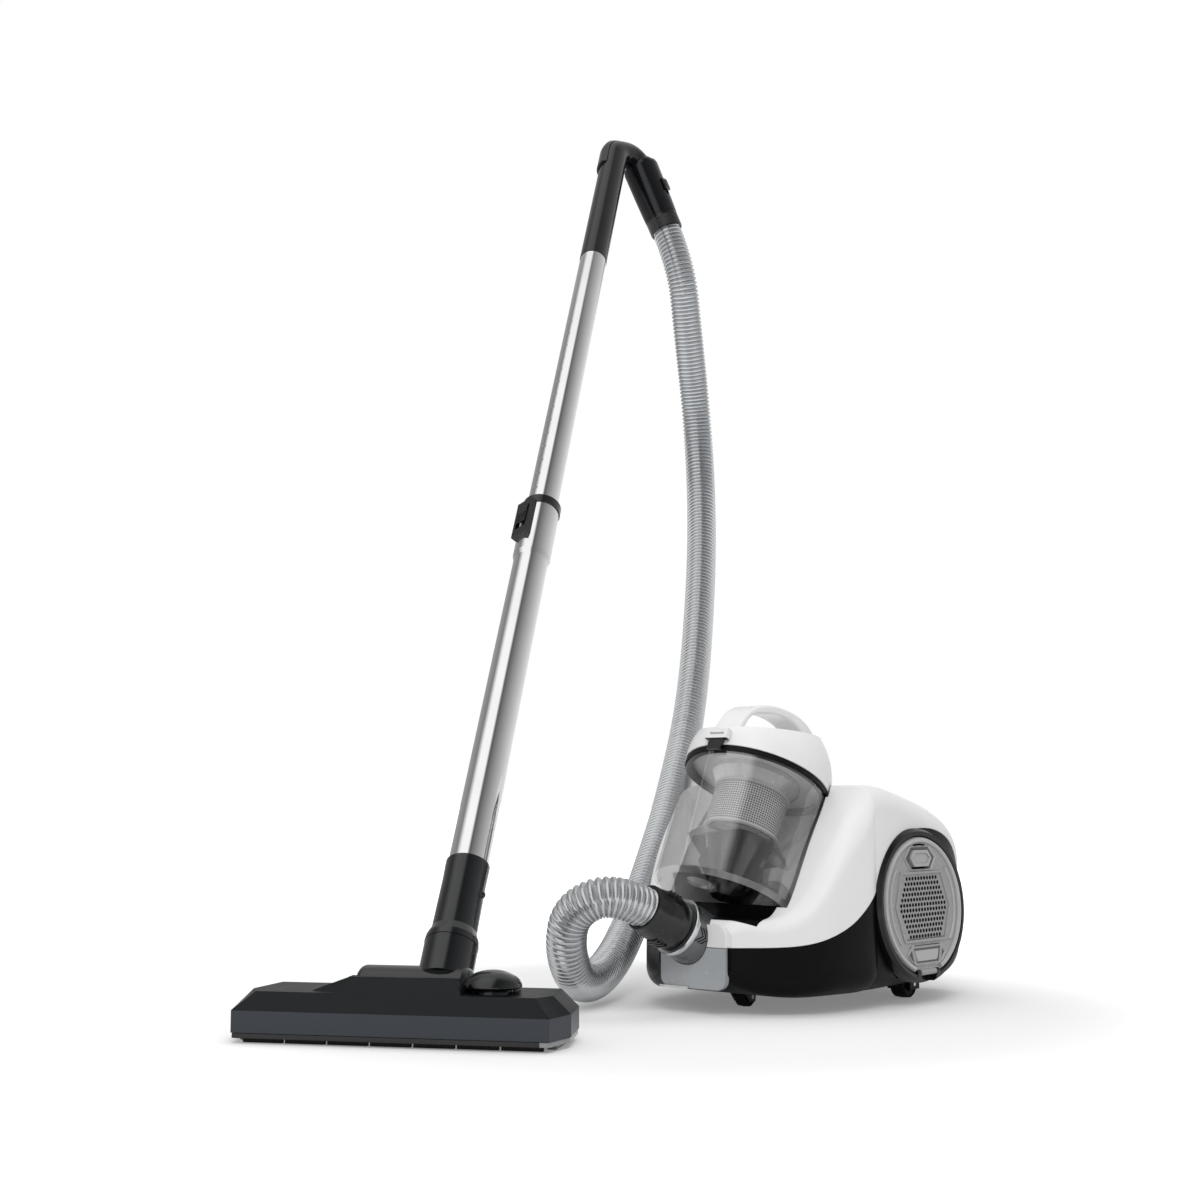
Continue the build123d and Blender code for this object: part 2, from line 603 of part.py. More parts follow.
def wheel(radius, width, centre, bore):
    """Small wheel on an axle along X, with a crowned tread and dished sides."""
    half = width / 2
    outline = [(bore, -half), (radius * 0.45, -half), (radius * 0.55, -half + 1.5), (radius * 0.8, -half + 1.5),
               (radius - 1.5, -half), (radius - 0.4, -half + 1.2), (radius, 0), (radius - 0.4, half - 1.2),
               (radius - 1.5, half), (radius * 0.8, half - 1.5), (radius * 0.55, half - 1.5),
               (radius * 0.45, half), (bore, half)]
    return turned(outline, spot(centre, (1, 0, 0)))


castor_wheel = wheel(castor_wheel_radius, castor_wheel_width, (0, wheel_y, castor_wheel_radius),
                     axle_radius + pin_gap)
save("castor_fork", fork)
save("castor_wheel", castor_wheel)
save("castor_axle", castor_axle)
rear_axles = []
for side in (1, -1):
    centre = (side * rear_wheel_x, rear_wheel_y, rear_wheel_radius)
    save("rear_wheel_" + side_names[side], wheel(rear_wheel_radius, rear_wheel_width, centre,
                                                axle_radius + pin_gap))
    rear_axles.append(rod(axle_radius, (side * rear_wheel_x - 13, rear_wheel_y, rear_wheel_radius),
                          (side * rear_wheel_x + 13, rear_wheel_y, rear_wheel_radius)))
save("rear_axles", *rear_axles)

# ------------------------------------------------------------------------------------- motor and reel
motor_frame = spot(motor_centre, (1, 0, 0))
half = motor_half_length
motor_housing = turned([
    (10, -half), (motor_radius, -half), (motor_radius, half), (18, half), (18, half - motor_wall),
    (motor_radius - motor_wall, half - motor_wall), (motor_radius - motor_wall, -half + motor_wall),
    (10, -half + motor_wall)], motor_frame)
stator = turned([(17, -36), (34, -36), (34, 2), (17, 2)], motor_frame)
stator_web = turned([(33.9, -10), (motor_radius - motor_wall, -10), (motor_radius - motor_wall, -6), (33.9, -6)],
                    motor_frame)
stator += stator_web
fan = turned([(0, -46), (4, -46), (4, -34), (16, -34), (16, 0), (4, 0), (4, 14), (fan_radius, 14), (fan_radius, 16),
              (14, 16), (9, 34), (0, 34)], motor_frame)
for turn in range(0, 360, 40):
    blade = block(13, fan_radius - 1, -0.8, 0.8, 15, 26)
    fan += motor_frame * Rot(0, 0, turn) * blade
rear_bearing = turned([(4 + pin_gap, -half), (12, -half), (12, -half + 8), (4 + pin_gap, -half + 8)],
                      motor_frame)
motor_housing += rear_bearing
front_plate = turned([(16.4, 2.4), (motor_radius - 1, 2.4), (motor_radius - 1, 5), (16.4, 5)], motor_frame)
mounts = []
for side in (1, -1):
    mounts.append(turned([(motor_radius + 0.2, side * 30), (motor_radius + 6, side * 30),
                          (motor_radius + 6, side * 38), (motor_radius + 0.2, side * 38)], motor_frame))
cradle_cut = rod(motor_radius + 6.2, (-80, motor_y, motor_z), (80, motor_y, motor_z))
lower_shell -= cradle_cut & block(-45, 45, -75, 20, base_z + 4, motor_z)

reel_frame = spot((0, reel_y, reel_z), (0, 1, 0), (1, 0, 0))
reel_half = reel_width / 2
cord_reel = turned([
    (6 + pin_gap, -reel_half), (reel_radius, -reel_half), (reel_radius, -reel_half + reel_flange),
    (reel_hub_radius, -reel_half + reel_flange), (reel_hub_radius, reel_half - reel_flange),
    (reel_radius, reel_half - reel_flange), (reel_radius, reel_half), (6 + pin_gap, reel_half)], reel_frame)
spindle_end = body_rear_y - reel_y
reel_spindle = turned([(0, -reel_half - 4), (10, -reel_half - 4), (10, -reel_half - running_gap),
                       (6, -reel_half - running_gap), (6, reel_half + running_gap), (10, reel_half + running_gap),
                       (10, reel_half + 3), (6, reel_half + 3), (6, spindle_end), (0, spindle_end)], reel_frame)
bridge = block(-12, 12, reel_y - reel_half - 8, reel_y - reel_half - 4.1, base_z + 2, reel_z + 12)
lower_shell += bridge
lower_shell += reel_spindle
outlet_in = (cord_outlet_x, body_rear_y + 6 - cord_outlet_length, cord_outlet_z)
gland = pipe(cord_outlet_radius + 3, cord_outlet_radius, outlet_in, (cord_outlet_x, body_rear_y + 6, cord_outlet_z))
gland += pipe(cord_outlet_radius + 6, cord_outlet_radius, (cord_outlet_x, body_rear_y + 3.4, cord_outlet_z),
              (cord_outlet_x, body_rear_y + 6, cord_outlet_z))
gland_seat = rod(cord_outlet_radius + 3.05, (cord_outlet_x, 60, cord_outlet_z), (cord_outlet_x, 140, cord_outlet_z))
gland_pad = rod(cord_outlet_radius + 8, (cord_outlet_x, body_rear_y - 6, cord_outlet_z),
                (cord_outlet_x, body_rear_y + 3.2, cord_outlet_z))
lower_shell += gland_pad
lower_shell -= gland_seat

save("motor_housing", motor_housing + front_plate)
save("motor_stator", stator)
save("fan_impeller", fan)
save("motor_mounts", *mounts)
save("cord_reel", cord_reel)
save("cord_gland", gland)
# ------------------------------------------------------------------------------------- pedals
def pedal_frame(side):
    """Local z is the way the pedal travels, out of the roof."""
    roof_at_pedal = roof_z - 19.0
    return spot((side * pedal_x, pedal_y, roof_at_pedal), (side * 0.03, sin(radians(pedal_tilt)),
                                                         cos(radians(pedal_tilt))), (0, 1, 0))


pedal_springs = []
for side, name in ((1, "rewind_pedal"), (-1, "power_pedal")):
    frame = pedal_frame(side)
    top_z = pedal_stand + 4.0
    cap = extrude(SlotOverall(pedal_length, pedal_width), 12)
    cap = fillet(cap.faces().sort_by(Axis.Z)[-1].edges(), 3.0)
    pedal = frame * Pos(0, 0, top_z - 12) * cap
    pedal += frame * Pos(0, 0, top_z - 20) * Cylinder(6, 18)
    pedal -= frame * turned([(7.4, top_z - 13), (10.8, top_z - 13), (10.8, top_z - 6), (7.4, top_z - 6)])
    save(name, pedal)
    cup = frame * Pos(0, 0, top_z - 12 - pedal_travel - 1.0 - wall) * extrude(
        SlotOverall(pedal_length + 6, pedal_width + 6), wall + pedal_travel + 16)
    cup_bore = frame * Pos(0, 0, top_z - 12 - pedal_travel - 1.0) * extrude(
        SlotOverall(pedal_length + 2, pedal_width + 2), 60)
    stem_hole = frame * Pos(0, 0, top_z - 30) * Cylinder(6 + running_gap, 40)
    upper_shell += cup & outer_form
    upper_shell -= cup_bore
    upper_shell -= stem_hole
    coil_path = Helix(pitch=2.2, height=9.7, radius=9.1, center=(0, 0, 0))
    coil = sweep(Plane(origin=coil_path @ 0, z_dir=coil_path % 0) * Circle(0.5), coil_path)
    pedal_springs.append(frame * Pos(0, 0, top_z - 12 - pedal_travel - 1.0 + 0.6) * coil)
save("pedal_springs", *pedal_springs)

board_frame = Pos(-pedal_x - 2, pedal_y + 5, board_z)
switch_board = board_frame * (block(-30, 30, -15, 15, 0, 1.6) + block(-6, 8, -7, 7, 1.6, 10))
save("switch_board", switch_board)
shelf = board_frame * (block(-34, 34, -19, 19, -3, -0.2) + block(-34, -30.6, -19, 19, -3, 30))
upper_shell += shelf & outer_form

screws = []
for x, y in ((-60, -150), (60, -150), (-88, 78), (88, 78)):
    screws.append(rod(3.6, (x, y, base_z + 2.2), (x, y, base_z + 3.4))
                  + rod(1.9, (x, y, base_z + 3.2), (x, y, base_z + 16)))
    lower_shell += rod(6, (x, y, base_z + 1), (x, y, base_z + 22)) & outer_form
    lower_shell -= rod(4.0, (x, y, base_z - 4), (x, y, base_z + 3.5))
    lower_shell -= rod(1.96, (x, y, base_z), (x, y, base_z + 17))
save("shell_screws", *screws)

# ------------------------------------------------------------------------------------- hose
hose_route = [
    tuple(hose_start), tuple(hose_start + grip_dir * 62), (-368, 263, 814), (-389, 311, 706), (-378, 306, 585),
    (-343, 255, 463), (-293, 168, 310), (-242, 62, 200), (-211, -8, 140), (-178, -89, 72), (-139, -180, 26),
    (-108, -258, 20), (-84, -308, 58), (-66, -320, 99), (-29, -298, 115), tuple(hose_end)]


def corner_radii(points):
    """Largest arcs that fit: 0.45 of the shorter run at each corner."""
    radii = []
    for before, here, after in zip(points[:-2], points[1:-1], points[2:]):
        run_in, run_out = Vector(*here) - Vector(*before), Vector(*after) - Vector(*here)
        turn = radians(run_in.get_angle(run_out))
        radii.append(0.45 * min(run_in.length, run_out.length) / tan(turn / 2))
    return radii


hose_radii = corner_radii(hose_route)
print("hose radii", [round(r) for r in hose_radii])
hose_path = FilletPolyline(*hose_route, radius=hose_radii)
hose_section = Plane(origin=hose_path @ 0, z_dir=hose_path % 0) * (Circle(hose_radius)
                                                                   - Circle(hose_radius - hose_wall))
hose = sweep(hose_section, hose_path)
section_area = pi * (hose_radius ** 2 - (hose_radius - hose_wall) ** 2)
print("hose length", round(hose_path.length), "volume share", round(hose.volume / hose_path.length / section_area, 4))
save("hose", hose)

cuff_bore = hose_radius + running_gap
cuff = turned([
    (hose_radius - hose_wall, 0), (cuff_radius - 3 - running_gap, 0), (cuff_radius - 3 - running_gap, 1.5),
    (cuff_radius - 3 - running_gap, 2), (cuff_radius - 1.2 - running_gap, 2.8),
    (cuff_radius - 1.2 - running_gap, 12), (cuff_radius + 0.6, 13), (cuff_bulge, 26), (cuff_bulge - 0.5, 38),
    (cuff_radius + 0.4, 50), (cuff_radius, cuff_length), (cuff_bore, cuff_length),
    (cuff_bore, cuff_length - cuff_depth - 0.2), (hose_radius - hose_wall, cuff_length - cuff_depth - 0.2)],
    cuff_frame)
for turn in (0, 180):
    for step in range(4):
        rib = block(cuff_bulge - 1.2, cuff_bulge + 0.9, -7, 7, 22 + step * 4, 23.6 + step * 4)
        cuff += cuff_frame * Rot(0, 0, turn) * rib
save("hose_cuff", cuff)

collar_frame = spot(hose_start, grip_dir)
collar = turned([
    (hose_radius + running_gap, 0), (hose_radius + running_gap, 10), (collar_radius - 0.6, 10),
    (collar_radius, 8), (collar_radius - 0.8, 6.5), (collar_radius, 5), (collar_radius - 0.8, 3.5),
    (collar_radius, 2), (collar_radius - 0.8, 0.5), (collar_radius, -1), (collar_radius - 0.8, -2.5),
    (collar_radius, -4), (collar_radius - 0.8, -5.5), (collar_radius, -7), (collar_radius, -11.7),
    (hose_radius - 3.2, -11.7), (hose_radius - 3.2, -0.3), (hose_radius + running_gap, -0.3)], collar_frame)
save("hose_collar", collar)

# ------------------------------------------------------------------------------------- handle
handle_path = FilletPolyline(
    tuple(handle_foot), tuple(bend_one), tuple(bend_two), tuple(bend_two + grip_dir * sleeve_start * 1.6),
    radius=[handle_bend, handle_bend])


def along_handle(radius):
    section = Plane(origin=handle_path @ 0, z_dir=handle_path % 0) * Circle(radius)
    return sweep(section, handle_path)


handle_bore_body = along_handle(handle_bore)
handle_pipe = along_handle(handle_radius) - handle_bore_body
spigot_start = inner_tube_end - 40
spigot_radius = inner_tube_radius - inner_tube_wall - pin_gap
handle_pipe += wand_frame * turned([(handle_bore, spigot_start), (spigot_radius, spigot_start),
                                    (spigot_radius, inner_tube_end + 1), (handle_bore, inner_tube_end + 1)])
ball_place = spot(bend_two + grip_dir * 22, grip_dir)
ball = ball_place * (Sphere(21.5) & Box(60, 60, 26))
handle_pipe += ball
handle_pipe -= handle_bore_body

sleeve_frame = spot(bend_two, grip_dir, wand_side)
sleeve = turned([
    (sleeve_radius - 0.4, sleeve_start - 14), (sleeve_radius + 0.6, sleeve_start - 10), (sleeve_radius, 58),
    (collar_radius + 0.8, 84), (collar_radius + 0.4, grip_length - 12), (handle_radius + 0.1, grip_length - 12),
    (handle_radius + 0.1, 44), (21.7, 40), (21.7, sleeve_start - 14)], sleeve_frame)
sleeve -= along_handle(handle_radius + 0.15)
slider_frame = sleeve_frame * Rot(0, 0, 20)
sleeve -= slider_frame * block(18, 30, -3.5, 3.5, 52, 60 + slider_travel)
air_slider = slider_frame * (block(sleeve_radius + 0.2, sleeve_radius + 2.4, -6, 6, 48, 64)
                             + block(19, sleeve_radius + 0.6, -3.2, 3.2, 52.2, 59))
for step in range(4):
    air_slider += slider_frame * block(sleeve_radius + 2.2, sleeve_radius + 3.2, -5, 5, 51 + step * 3,
                                       52.2 + step * 3)

cap_end = bend_one + (bend_two - bend_one).normalized() * 20
cap_path = FilletPolyline(tuple(bend_one - wand_axis * 42), tuple(bend_one), tuple(cap_end), radius=[handle_bend])
cap_start = Plane(origin=cap_path @ 0, x_dir=wand_side, z_dir=cap_path % 0)
cap_ring = (Circle(handle_radius + 3.2) - Circle(handle_radius + 0.3))
cap_side = Pos(-24, 0) * Rectangle(40, 34)
handle_cap = sweep(cap_start * (cap_ring & cap_side), cap_path) - ball_place * Sphere(21.9)
save("handle_pipe", handle_pipe)
save("handle_sleeve", sleeve)
save("handle_cap", handle_cap)
save("air_slider", air_slider)

# ------------------------------------------------------------------------------------- tubes


def notch_place(distance, radius):
    return wand_frame * Rot(0, 0, notch_side) * Pos(radius, 0, distance)


inner_tube = wand_frame * turned([
    (inner_tube_radius - inner_tube_wall, inner_tube_start), (inner_tube_radius, inner_tube_start),
    (inner_tube_radius, inner_tube_end - 0.2), (inner_tube_radius - inner_tube_wall, inner_tube_end - 0.2)])
for index in range(notch_count):
    place = notch_place(outer_tube_end + first_notch + index * notch_pitch, inner_tube_radius + 2.0)
    inner_tube -= place * Rot(90, 0, 0) * Cylinder(2.8, 16)
outer_tube = wand_frame * turned([
    (outer_tube_radius - outer_tube_wall, outer_tube_start), (outer_tube_radius, outer_tube_start),
    (outer_tube_radius, swage_start), (swage_radius, swage_start + 6), (swage_radius, outer_tube_end),
    (swage_radius - outer_tube_wall, outer_tube_end), (swage_radius - outer_tube_wall, swage_start + 6),
    (outer_tube_radius - outer_tube_wall, swage_start)])
latch_hole = wand_frame * Rot(0, 0, notch_side) * block(14, 24, -6, 6, latch_from + 14, latch_to - 14)
outer_tube -= latch_hole
tube_collar = wand_frame * turned([
    (inner_tube_radius + 0.12, outer_tube_end + 2), (swage_radius + 0.9, outer_tube_end + 2),
    (swage_radius + 0.9, outer_tube_end - 8), (swage_radius + 0.1, outer_tube_end - 8),
    (swage_radius + 0.1, outer_tube_end + 0.1), (swage_radius - outer_tube_wall - 0.1, outer_tube_end + 0.1),
    (swage_radius - outer_tube_wall - 0.1, outer_tube_end - bushing_length),
    (inner_tube_radius + 0.12, outer_tube_end - bushing_length)])
latch_frame = wand_frame * Rot(0, 0, notch_side)
saddle = latch_frame * block(14, swage_radius + 4.2, -latch_width / 2, latch_width / 2, latch_from, latch_to + 2)
saddle -= wand_frame * rod(swage_radius + 0.05, (0, 0, latch_from - 20), (0, 0, latch_to + 40))
pocket_half = latch_width / 2 - 3.3
saddle -= latch_frame * block(16, 40, -pocket_half, pocket_half, latch_from + 10, latch_to - 6)
tube_collar -= latch_frame * block(14, 24, -4.2, 4.2, latch_from + 16, latch_to - 16)
tube_collar += saddle
latch_button = latch_frame * block(swage_radius + 0.5, swage_radius + 5.4, -pocket_half + running_gap,
                                   pocket_half - running_gap, latch_from + 13 + latch_slide, latch_to - 6.4)
for step in range(4):
    latch_button -= latch_frame * block(swage_radius + 4.4, swage_radius + 7, -8, 8, latch_from + 19 + step * 3,
                                        latch_from + 20.4 + step * 3)
latch_button += latch_frame * block(inner_tube_radius + 1.1, swage_radius + 0.8, -3.6, 3.6,
                                    latch_from + 19 + latch_slide, latch_to - 22)
spring_path = Helix(pitch=1.5, height=6.0, radius=1.4, center=(0, 0, 0))
latch_coil = sweep(Plane(origin=spring_path @ 0, z_dir=spring_path % 0) * Circle(0.3), spring_path)
latch_spring = latch_frame * Pos(swage_radius + 2.6, 0, latch_from + 10.5) * latch_coil
save("inner_tube", inner_tube)
save("outer_tube", outer_tube)
save("tube_collar", tube_collar)
save("latch_button", latch_button)
save("latch_spring", latch_spring)

# ------------------------------------------------------------------------------------- neck
socket_radius = outer_tube_radius + 0.06
neck_tube = wand_frame * turned([
    (16.5, neck_start + 0.4), (neck_radius + 4.5, neck_start + 0.4), (neck_radius + 4.0, neck_start + 6),
    (neck_radius + 0.8, neck_start + 14), (neck_radius + 0.3, neck_end - 18), (neck_radius + 0.6, neck_end - 4),
    (neck_radius + 0.6, neck_end), (socket_radius, neck_end), (socket_radius, outer_tube_start - 0.2),
    (14.0, outer_tube_start - 0.2), (14.0, neck_start + 18), (16.5, neck_start + 18)])
neck_nub = wand_frame * Rot(0, 0, -8) * Pos(neck_radius, 0, neck_end - 32) * Sphere(3.4)
neck_tube += neck_nub - wand_frame * rod(neck_radius - 0.5, (0, 0, 50), (0, 0, 130))
pivot_frame = head_frame * Pos(0, 0, pivot[2])
barrel = rod(barrel_radius, (-barrel_left, 0, 0), (barrel_right, 0, 0))
barrel = pivot_frame * fillet(barrel.edges().filter_by(GeomType.CIRCLE), 7.0)
neck_cone = wand_frame * turned([
    (0, 0), (barrel_radius + 3, 8), (barrel_radius + 3, 20), (neck_radius + 4.2, neck_start), (16.2, neck_start),
    (16.2, neck_start + 16), (0, neck_start + 16)])
barrel += neck_cone
barrel -= pivot_frame * rod(15.0, (-barrel_left + 6, 0, 0), (barrel_right - 6, 0, 0))
barrel -= wand_frame * rod(14.0, (0, 0, 0), (0, 0, neck_start + 20))
barrel -= pivot_frame * block(-barrel_left + 10, barrel_right - 10, -11, 11, -30, -1)
stub_radius = 5.0
barrel += pivot_frame * rod(stub_radius, (-barrel_left - 6, 0, 0), (-barrel_left + 1, 0, 0))
barrel += pivot_frame * rod(stub_radius, (barrel_right - 1, 0, 0), (barrel_right + 6, 0, 0))
save("neck_tube", neck_tube)
save("neck_barrel", barrel)

# ------------------------------------------------------------------------------------- floor head


def head_plan(inset, shoulder=0.0):
    """Plan of the housing; a shoulder draws in its front and ends."""
    left = head_offset - head_half_width + inset + shoulder
    right = head_offset + head_half_width - inset - shoulder
    front, rear = -head_front + inset + shoulder, head_rear - inset
    corner = -head_front + head_corner
    return make_face(Polyline(
        (left, front), (right, front), (right + head_flare, corner), (right + head_flare / 2, rear),
        (left - head_flare / 2, rear), (left - head_flare, corner), close=True))


def head_block(inset):
    lower = Pos(0, 0, head_bottom) * extrude(head_plan(inset), head_waist - head_bottom)
    upper = loft([Pos(0, 0, head_waist) * head_plan(inset),
                  Pos(0, 0, head_top - inset) * head_plan(inset, head_slope)], ruled=True)
    return lower + upper


head_outer = head_block(0)
head_inner = Pos(0, 0, -head_wall) * head_block(head_wall)
bay_left, bay_right = -barrel_left - 0.8, barrel_right + 0.8
bay = block(bay_left, bay_right, -barrel_radius - 4, head_rear + 1, -5, 90)
bay_walls = block(bay_left - 6, bay_right + 6, -barrel_radius - 7, head_rear - 0.1, head_bottom, head_top)
fairing_low = Pos(0, 0, head_top - 0.5) * make_face(Polyline(
    (bay_left - 32, -30), (bay_left - 6, -42), (bay_right + 2, -42), (bay_right + 2, -25), (bay_left - 20, -25),
    close=True))
fairing_top = Pos(0, 0, pivot[2] + 13) * make_face(Polyline(
    (bay_left + 2, -27), (bay_left + 6, -28), (bay_right - 6, -28), (bay_right - 4, -25), (bay_left + 1, -25),
    close=True))
fairing = loft([fairing_low, fairing_top], ruled=True)
pivot_boss = rod(11, (bay_left - 6, 0, pivot[2]), (bay_right + 6, 0, pivot[2]))
housing = (head_outer - head_inner) + (bay_walls & head_outer) + pivot_boss + fairing
housing -= bay
housing -= block(rocker_left - 1, rocker_right + 1, rocker_y - 21.5, rocker_y + 21.5, head_top - 12, 80)
rocker_bed = block(rocker_left - 3, rocker_right + 3, rocker_y - 24, rocker_y + 24, head_top - 16, head_top - 12)
rocker_posts = block(rocker_left - 5, rocker_left - 1, rocker_y - 5, rocker_y + 5, head_top - 10, head_top + 1.5)
rocker_posts += block(rocker_right + 1, rocker_right + 5, rocker_y - 5, rocker_y + 5, head_top - 10, head_top + 1.5)
rocker_pin_z = head_top - 2.5
housing += (rocker_bed & head_outer) + rocker_posts
housing -= rod(stub_radius + pin_gap, (bay_left - 7, 0, pivot[2]), (bay_right + 7, 0, pivot[2]))
housing -= rod(1.5 + pin_gap, (rocker_left - 8, rocker_y, rocker_pin_z), (rocker_right + 8, rocker_y, rocker_pin_z))
rocker_low = head_top - 6.0
rocker = Pos((rocker_left + rocker_right) / 2, rocker_y, rocker_low) * scale(
    Sphere(1), by=((rocker_right - rocker_left) / 2 - 0.2, 20, rocker_height - rocker_low))
rocker &= block(rocker_left, rocker_right, rocker_y - 21, rocker_y + 21, rocker_low, 80)
rocker -= rod(1.5 + pin_gap, (rocker_left - 8, rocker_y, rocker_pin_z), (rocker_right + 8, rocker_y, rocker_pin_z))
rocker_pin = rod(1.5, (rocker_left - 4.5, rocker_y, rocker_pin_z), (rocker_right + 4.5, rocker_y, rocker_pin_z))

sole = Pos(0, 0, sole_bottom_z) * extrude(head_plan(0.8), head_bottom - sole_bottom_z - panel_gap)
mouth = block(head_offset - mouth_half_length, head_offset + mouth_half_length, -head_front + 22,
              -head_front + 38, -2, 30)
brush_slot = block(head_offset - head_half_width + 4, head_offset + head_half_width - 4, -head_front + 6.6,
                   -head_front + 15.4, -2, 30)
sole -= mouth
sole -= brush_slot
sole -= bay
side_runners = []
for side in (1, -1):
    middle = head_offset + side * (head_half_width - 3)
    runner = block(middle - 4, middle + 4, -head_front + 22, head_rear - 22, 0, sole_bottom_z - 0.1)
    runner = fillet([e for e in runner.edges() if e.center().Z < 0.5], 1.5)
    side_runners.append(runner)

carrier = block(head_offset - head_half_width + 6, head_offset + head_half_width - 6, -head_front + 7,
                -head_front + 15, bristle_height, bristle_height + 6)
bristles = []
segment = (2 * head_half_width - 12) / bristle_count
for index in range(bristle_count):
    left = head_offset - head_half_width + 6 + index * segment
    bristles.append(block(left + 1.2, left + segment - 1.2, -head_front + 9, -head_front + 13, 0.3, bristle_height))

head_wheels = []
wheel_axles = []
for x, bracket_top in ((head_offset - 92, head_top - 1), (head_offset + 92, head_top - 13)):
    centre = (x, head_rear - 11, head_wheel_radius)
    sole -= block(x - 6, x + 6, head_rear - 21, head_rear - 2.5, -5, 30)
    housing += block(x - 9, x - 5.6, head_rear - 16, head_rear - 6, sole_bottom_z + 0.3, bracket_top) & head_outer
    head_wheels.append(wheel(head_wheel_radius, 9, centre, 1.5 + pin_gap))
    wheel_axles.append(rod(1.5, (x - 8.5, head_rear - 11, head_wheel_radius),
                           (x + 5.5, head_rear - 11, head_wheel_radius)))
    sole -= rod(1.6, (x - 12, head_rear - 11, head_wheel_radius), (x + 12, head_rear - 11, head_wheel_radius))
    housing -= rod(1.5, (x - 12, head_rear - 11, head_wheel_radius), (x, head_rear - 11, head_wheel_radius))

save("head_housing", head_frame * housing)
save("sole_plate", head_frame * sole)
save("side_runners", *[head_frame * shape for shape in side_runners])
save("brush_carrier", head_frame * carrier)
save("bristle_strip", *[head_frame * shape for shape in bristles])
save("rocker_pedal", head_frame * rocker)
save("head_wheel_left", head_frame * head_wheels[0])
save("head_wheel_right", head_frame * head_wheels[1])
save("head_pins", head_frame * rocker_pin, *[head_frame * shape for shape in wheel_axles])

save("lower_shell", lower_shell)
save("upper_shell", upper_shell)
save("front_trim_plate", front_trim)
save("inlet_elbow", elbow)
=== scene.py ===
import bmesh
import bpy
from math import atan, cos, pi, radians, sin
from mathutils import Matrix, Vector


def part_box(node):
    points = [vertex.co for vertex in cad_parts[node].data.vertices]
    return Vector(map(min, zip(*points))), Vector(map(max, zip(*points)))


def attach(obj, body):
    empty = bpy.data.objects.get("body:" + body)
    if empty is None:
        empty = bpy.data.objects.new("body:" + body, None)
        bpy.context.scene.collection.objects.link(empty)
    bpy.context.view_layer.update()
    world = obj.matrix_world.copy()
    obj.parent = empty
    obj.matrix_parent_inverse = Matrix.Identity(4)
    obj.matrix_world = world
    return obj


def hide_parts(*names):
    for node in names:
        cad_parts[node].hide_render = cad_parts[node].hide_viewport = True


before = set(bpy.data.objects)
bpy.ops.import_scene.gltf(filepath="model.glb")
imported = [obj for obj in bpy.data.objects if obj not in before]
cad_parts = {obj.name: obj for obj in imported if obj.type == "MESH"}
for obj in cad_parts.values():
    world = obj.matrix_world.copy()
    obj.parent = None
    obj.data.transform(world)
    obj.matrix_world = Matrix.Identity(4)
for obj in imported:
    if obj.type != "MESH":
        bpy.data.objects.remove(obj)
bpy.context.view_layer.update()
print("frame loaded")

# everything is in metres; home is the point on the floor, behind the castor, that places count from
castorBack = 0.141
axleLow, axleHigh = [Vector(corner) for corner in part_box("castor_axle")]
home = Vector(((axleLow.x + axleHigh.x) / 2, (axleLow.y + axleHigh.y) / 2 + castorBack, 0))
toViewer = Vector((0.643, -0.766, 0))
binAxis = (0, 0.45399, 0.891007)
binTop = home + Vector((0, -0.12, 0.212))
headMiddle = home + Vector((-0.0666, -0.4822, 0))
wandAxis = Vector((-0.277273, 0.521474, 0.80696))
wandSide = Vector((0.882948, 0.469472, 0))
wandBack = Vector((-0.469472, 0.882948, 0))


cameraView = {
    "place": (0.9617, -1.503, 0.206),
    "rise": 190 / 1700,       # slope of the view
    "turn": 40,
    "lens": 51,
    "sensor": 36,
    "nearest": 0.02,
}


def makeCamera():
    camera = bpy.data.objects.new("camera", bpy.data.cameras.new("camera"))
    bpy.context.scene.collection.objects.link(camera)
    camera.location = home + Vector(cameraView["place"])
    camera.rotation_euler = (radians(90) + atan(cameraView["rise"]), 0, radians(cameraView["turn"]))
    camera.data.sensor_width = cameraView["sensor"]
    camera.data.lens = cameraView["lens"]
    camera.data.clip_start = cameraView["nearest"]
    bpy.context.scene.camera = camera


makeCamera()

studio = {
    "floorTone": 0.7,
    "floorReach": 14,
    "nearLift": 0.2,          # glow of the floor: keeps it white away from the shadows
    "farLift": 1.0,
    "liftMiddle": (-0.05, -0.2, 0),
    "liftStart": 0.32,
    "liftEnd": 0.8,
    "mirroredLift": 0.35,     # share of the lift that shiny surfaces see
    "worldTone": 0.95,
    "worldLevel": 0.62,
    # what shiny surfaces mirror: tones by the angle round the wand, 0 is towards the viewer
    "mirrored": [(-180, 0.4), (-120, 0.3), (-84, 0.22), (-56, 1.0), (-15, 1.0), (-4, 0.1),
                 (38, 0.05), (54, 0.3), (72, 0.9), (95, 1.0), (172, 0.9)],
    "alongWand": 0.6,         # tone at the ring's two poles
    "poleStart": 0.75,
    "poleEnd": 0.97,
    "keyPower": 44,
    "fillPower": 13,
    "topPower": 26,
}


def addMath(nodes, links, operation, first, second=None):
    step = nodes.new("ShaderNodeMath")
    step.operation = operation
    for socket, value in zip(step.inputs, (first, second)):
        if isinstance(value, (int, float)):
            socket.default_value = value
        elif value is not None:
            links.new(value, socket)
    return step.outputs[0]


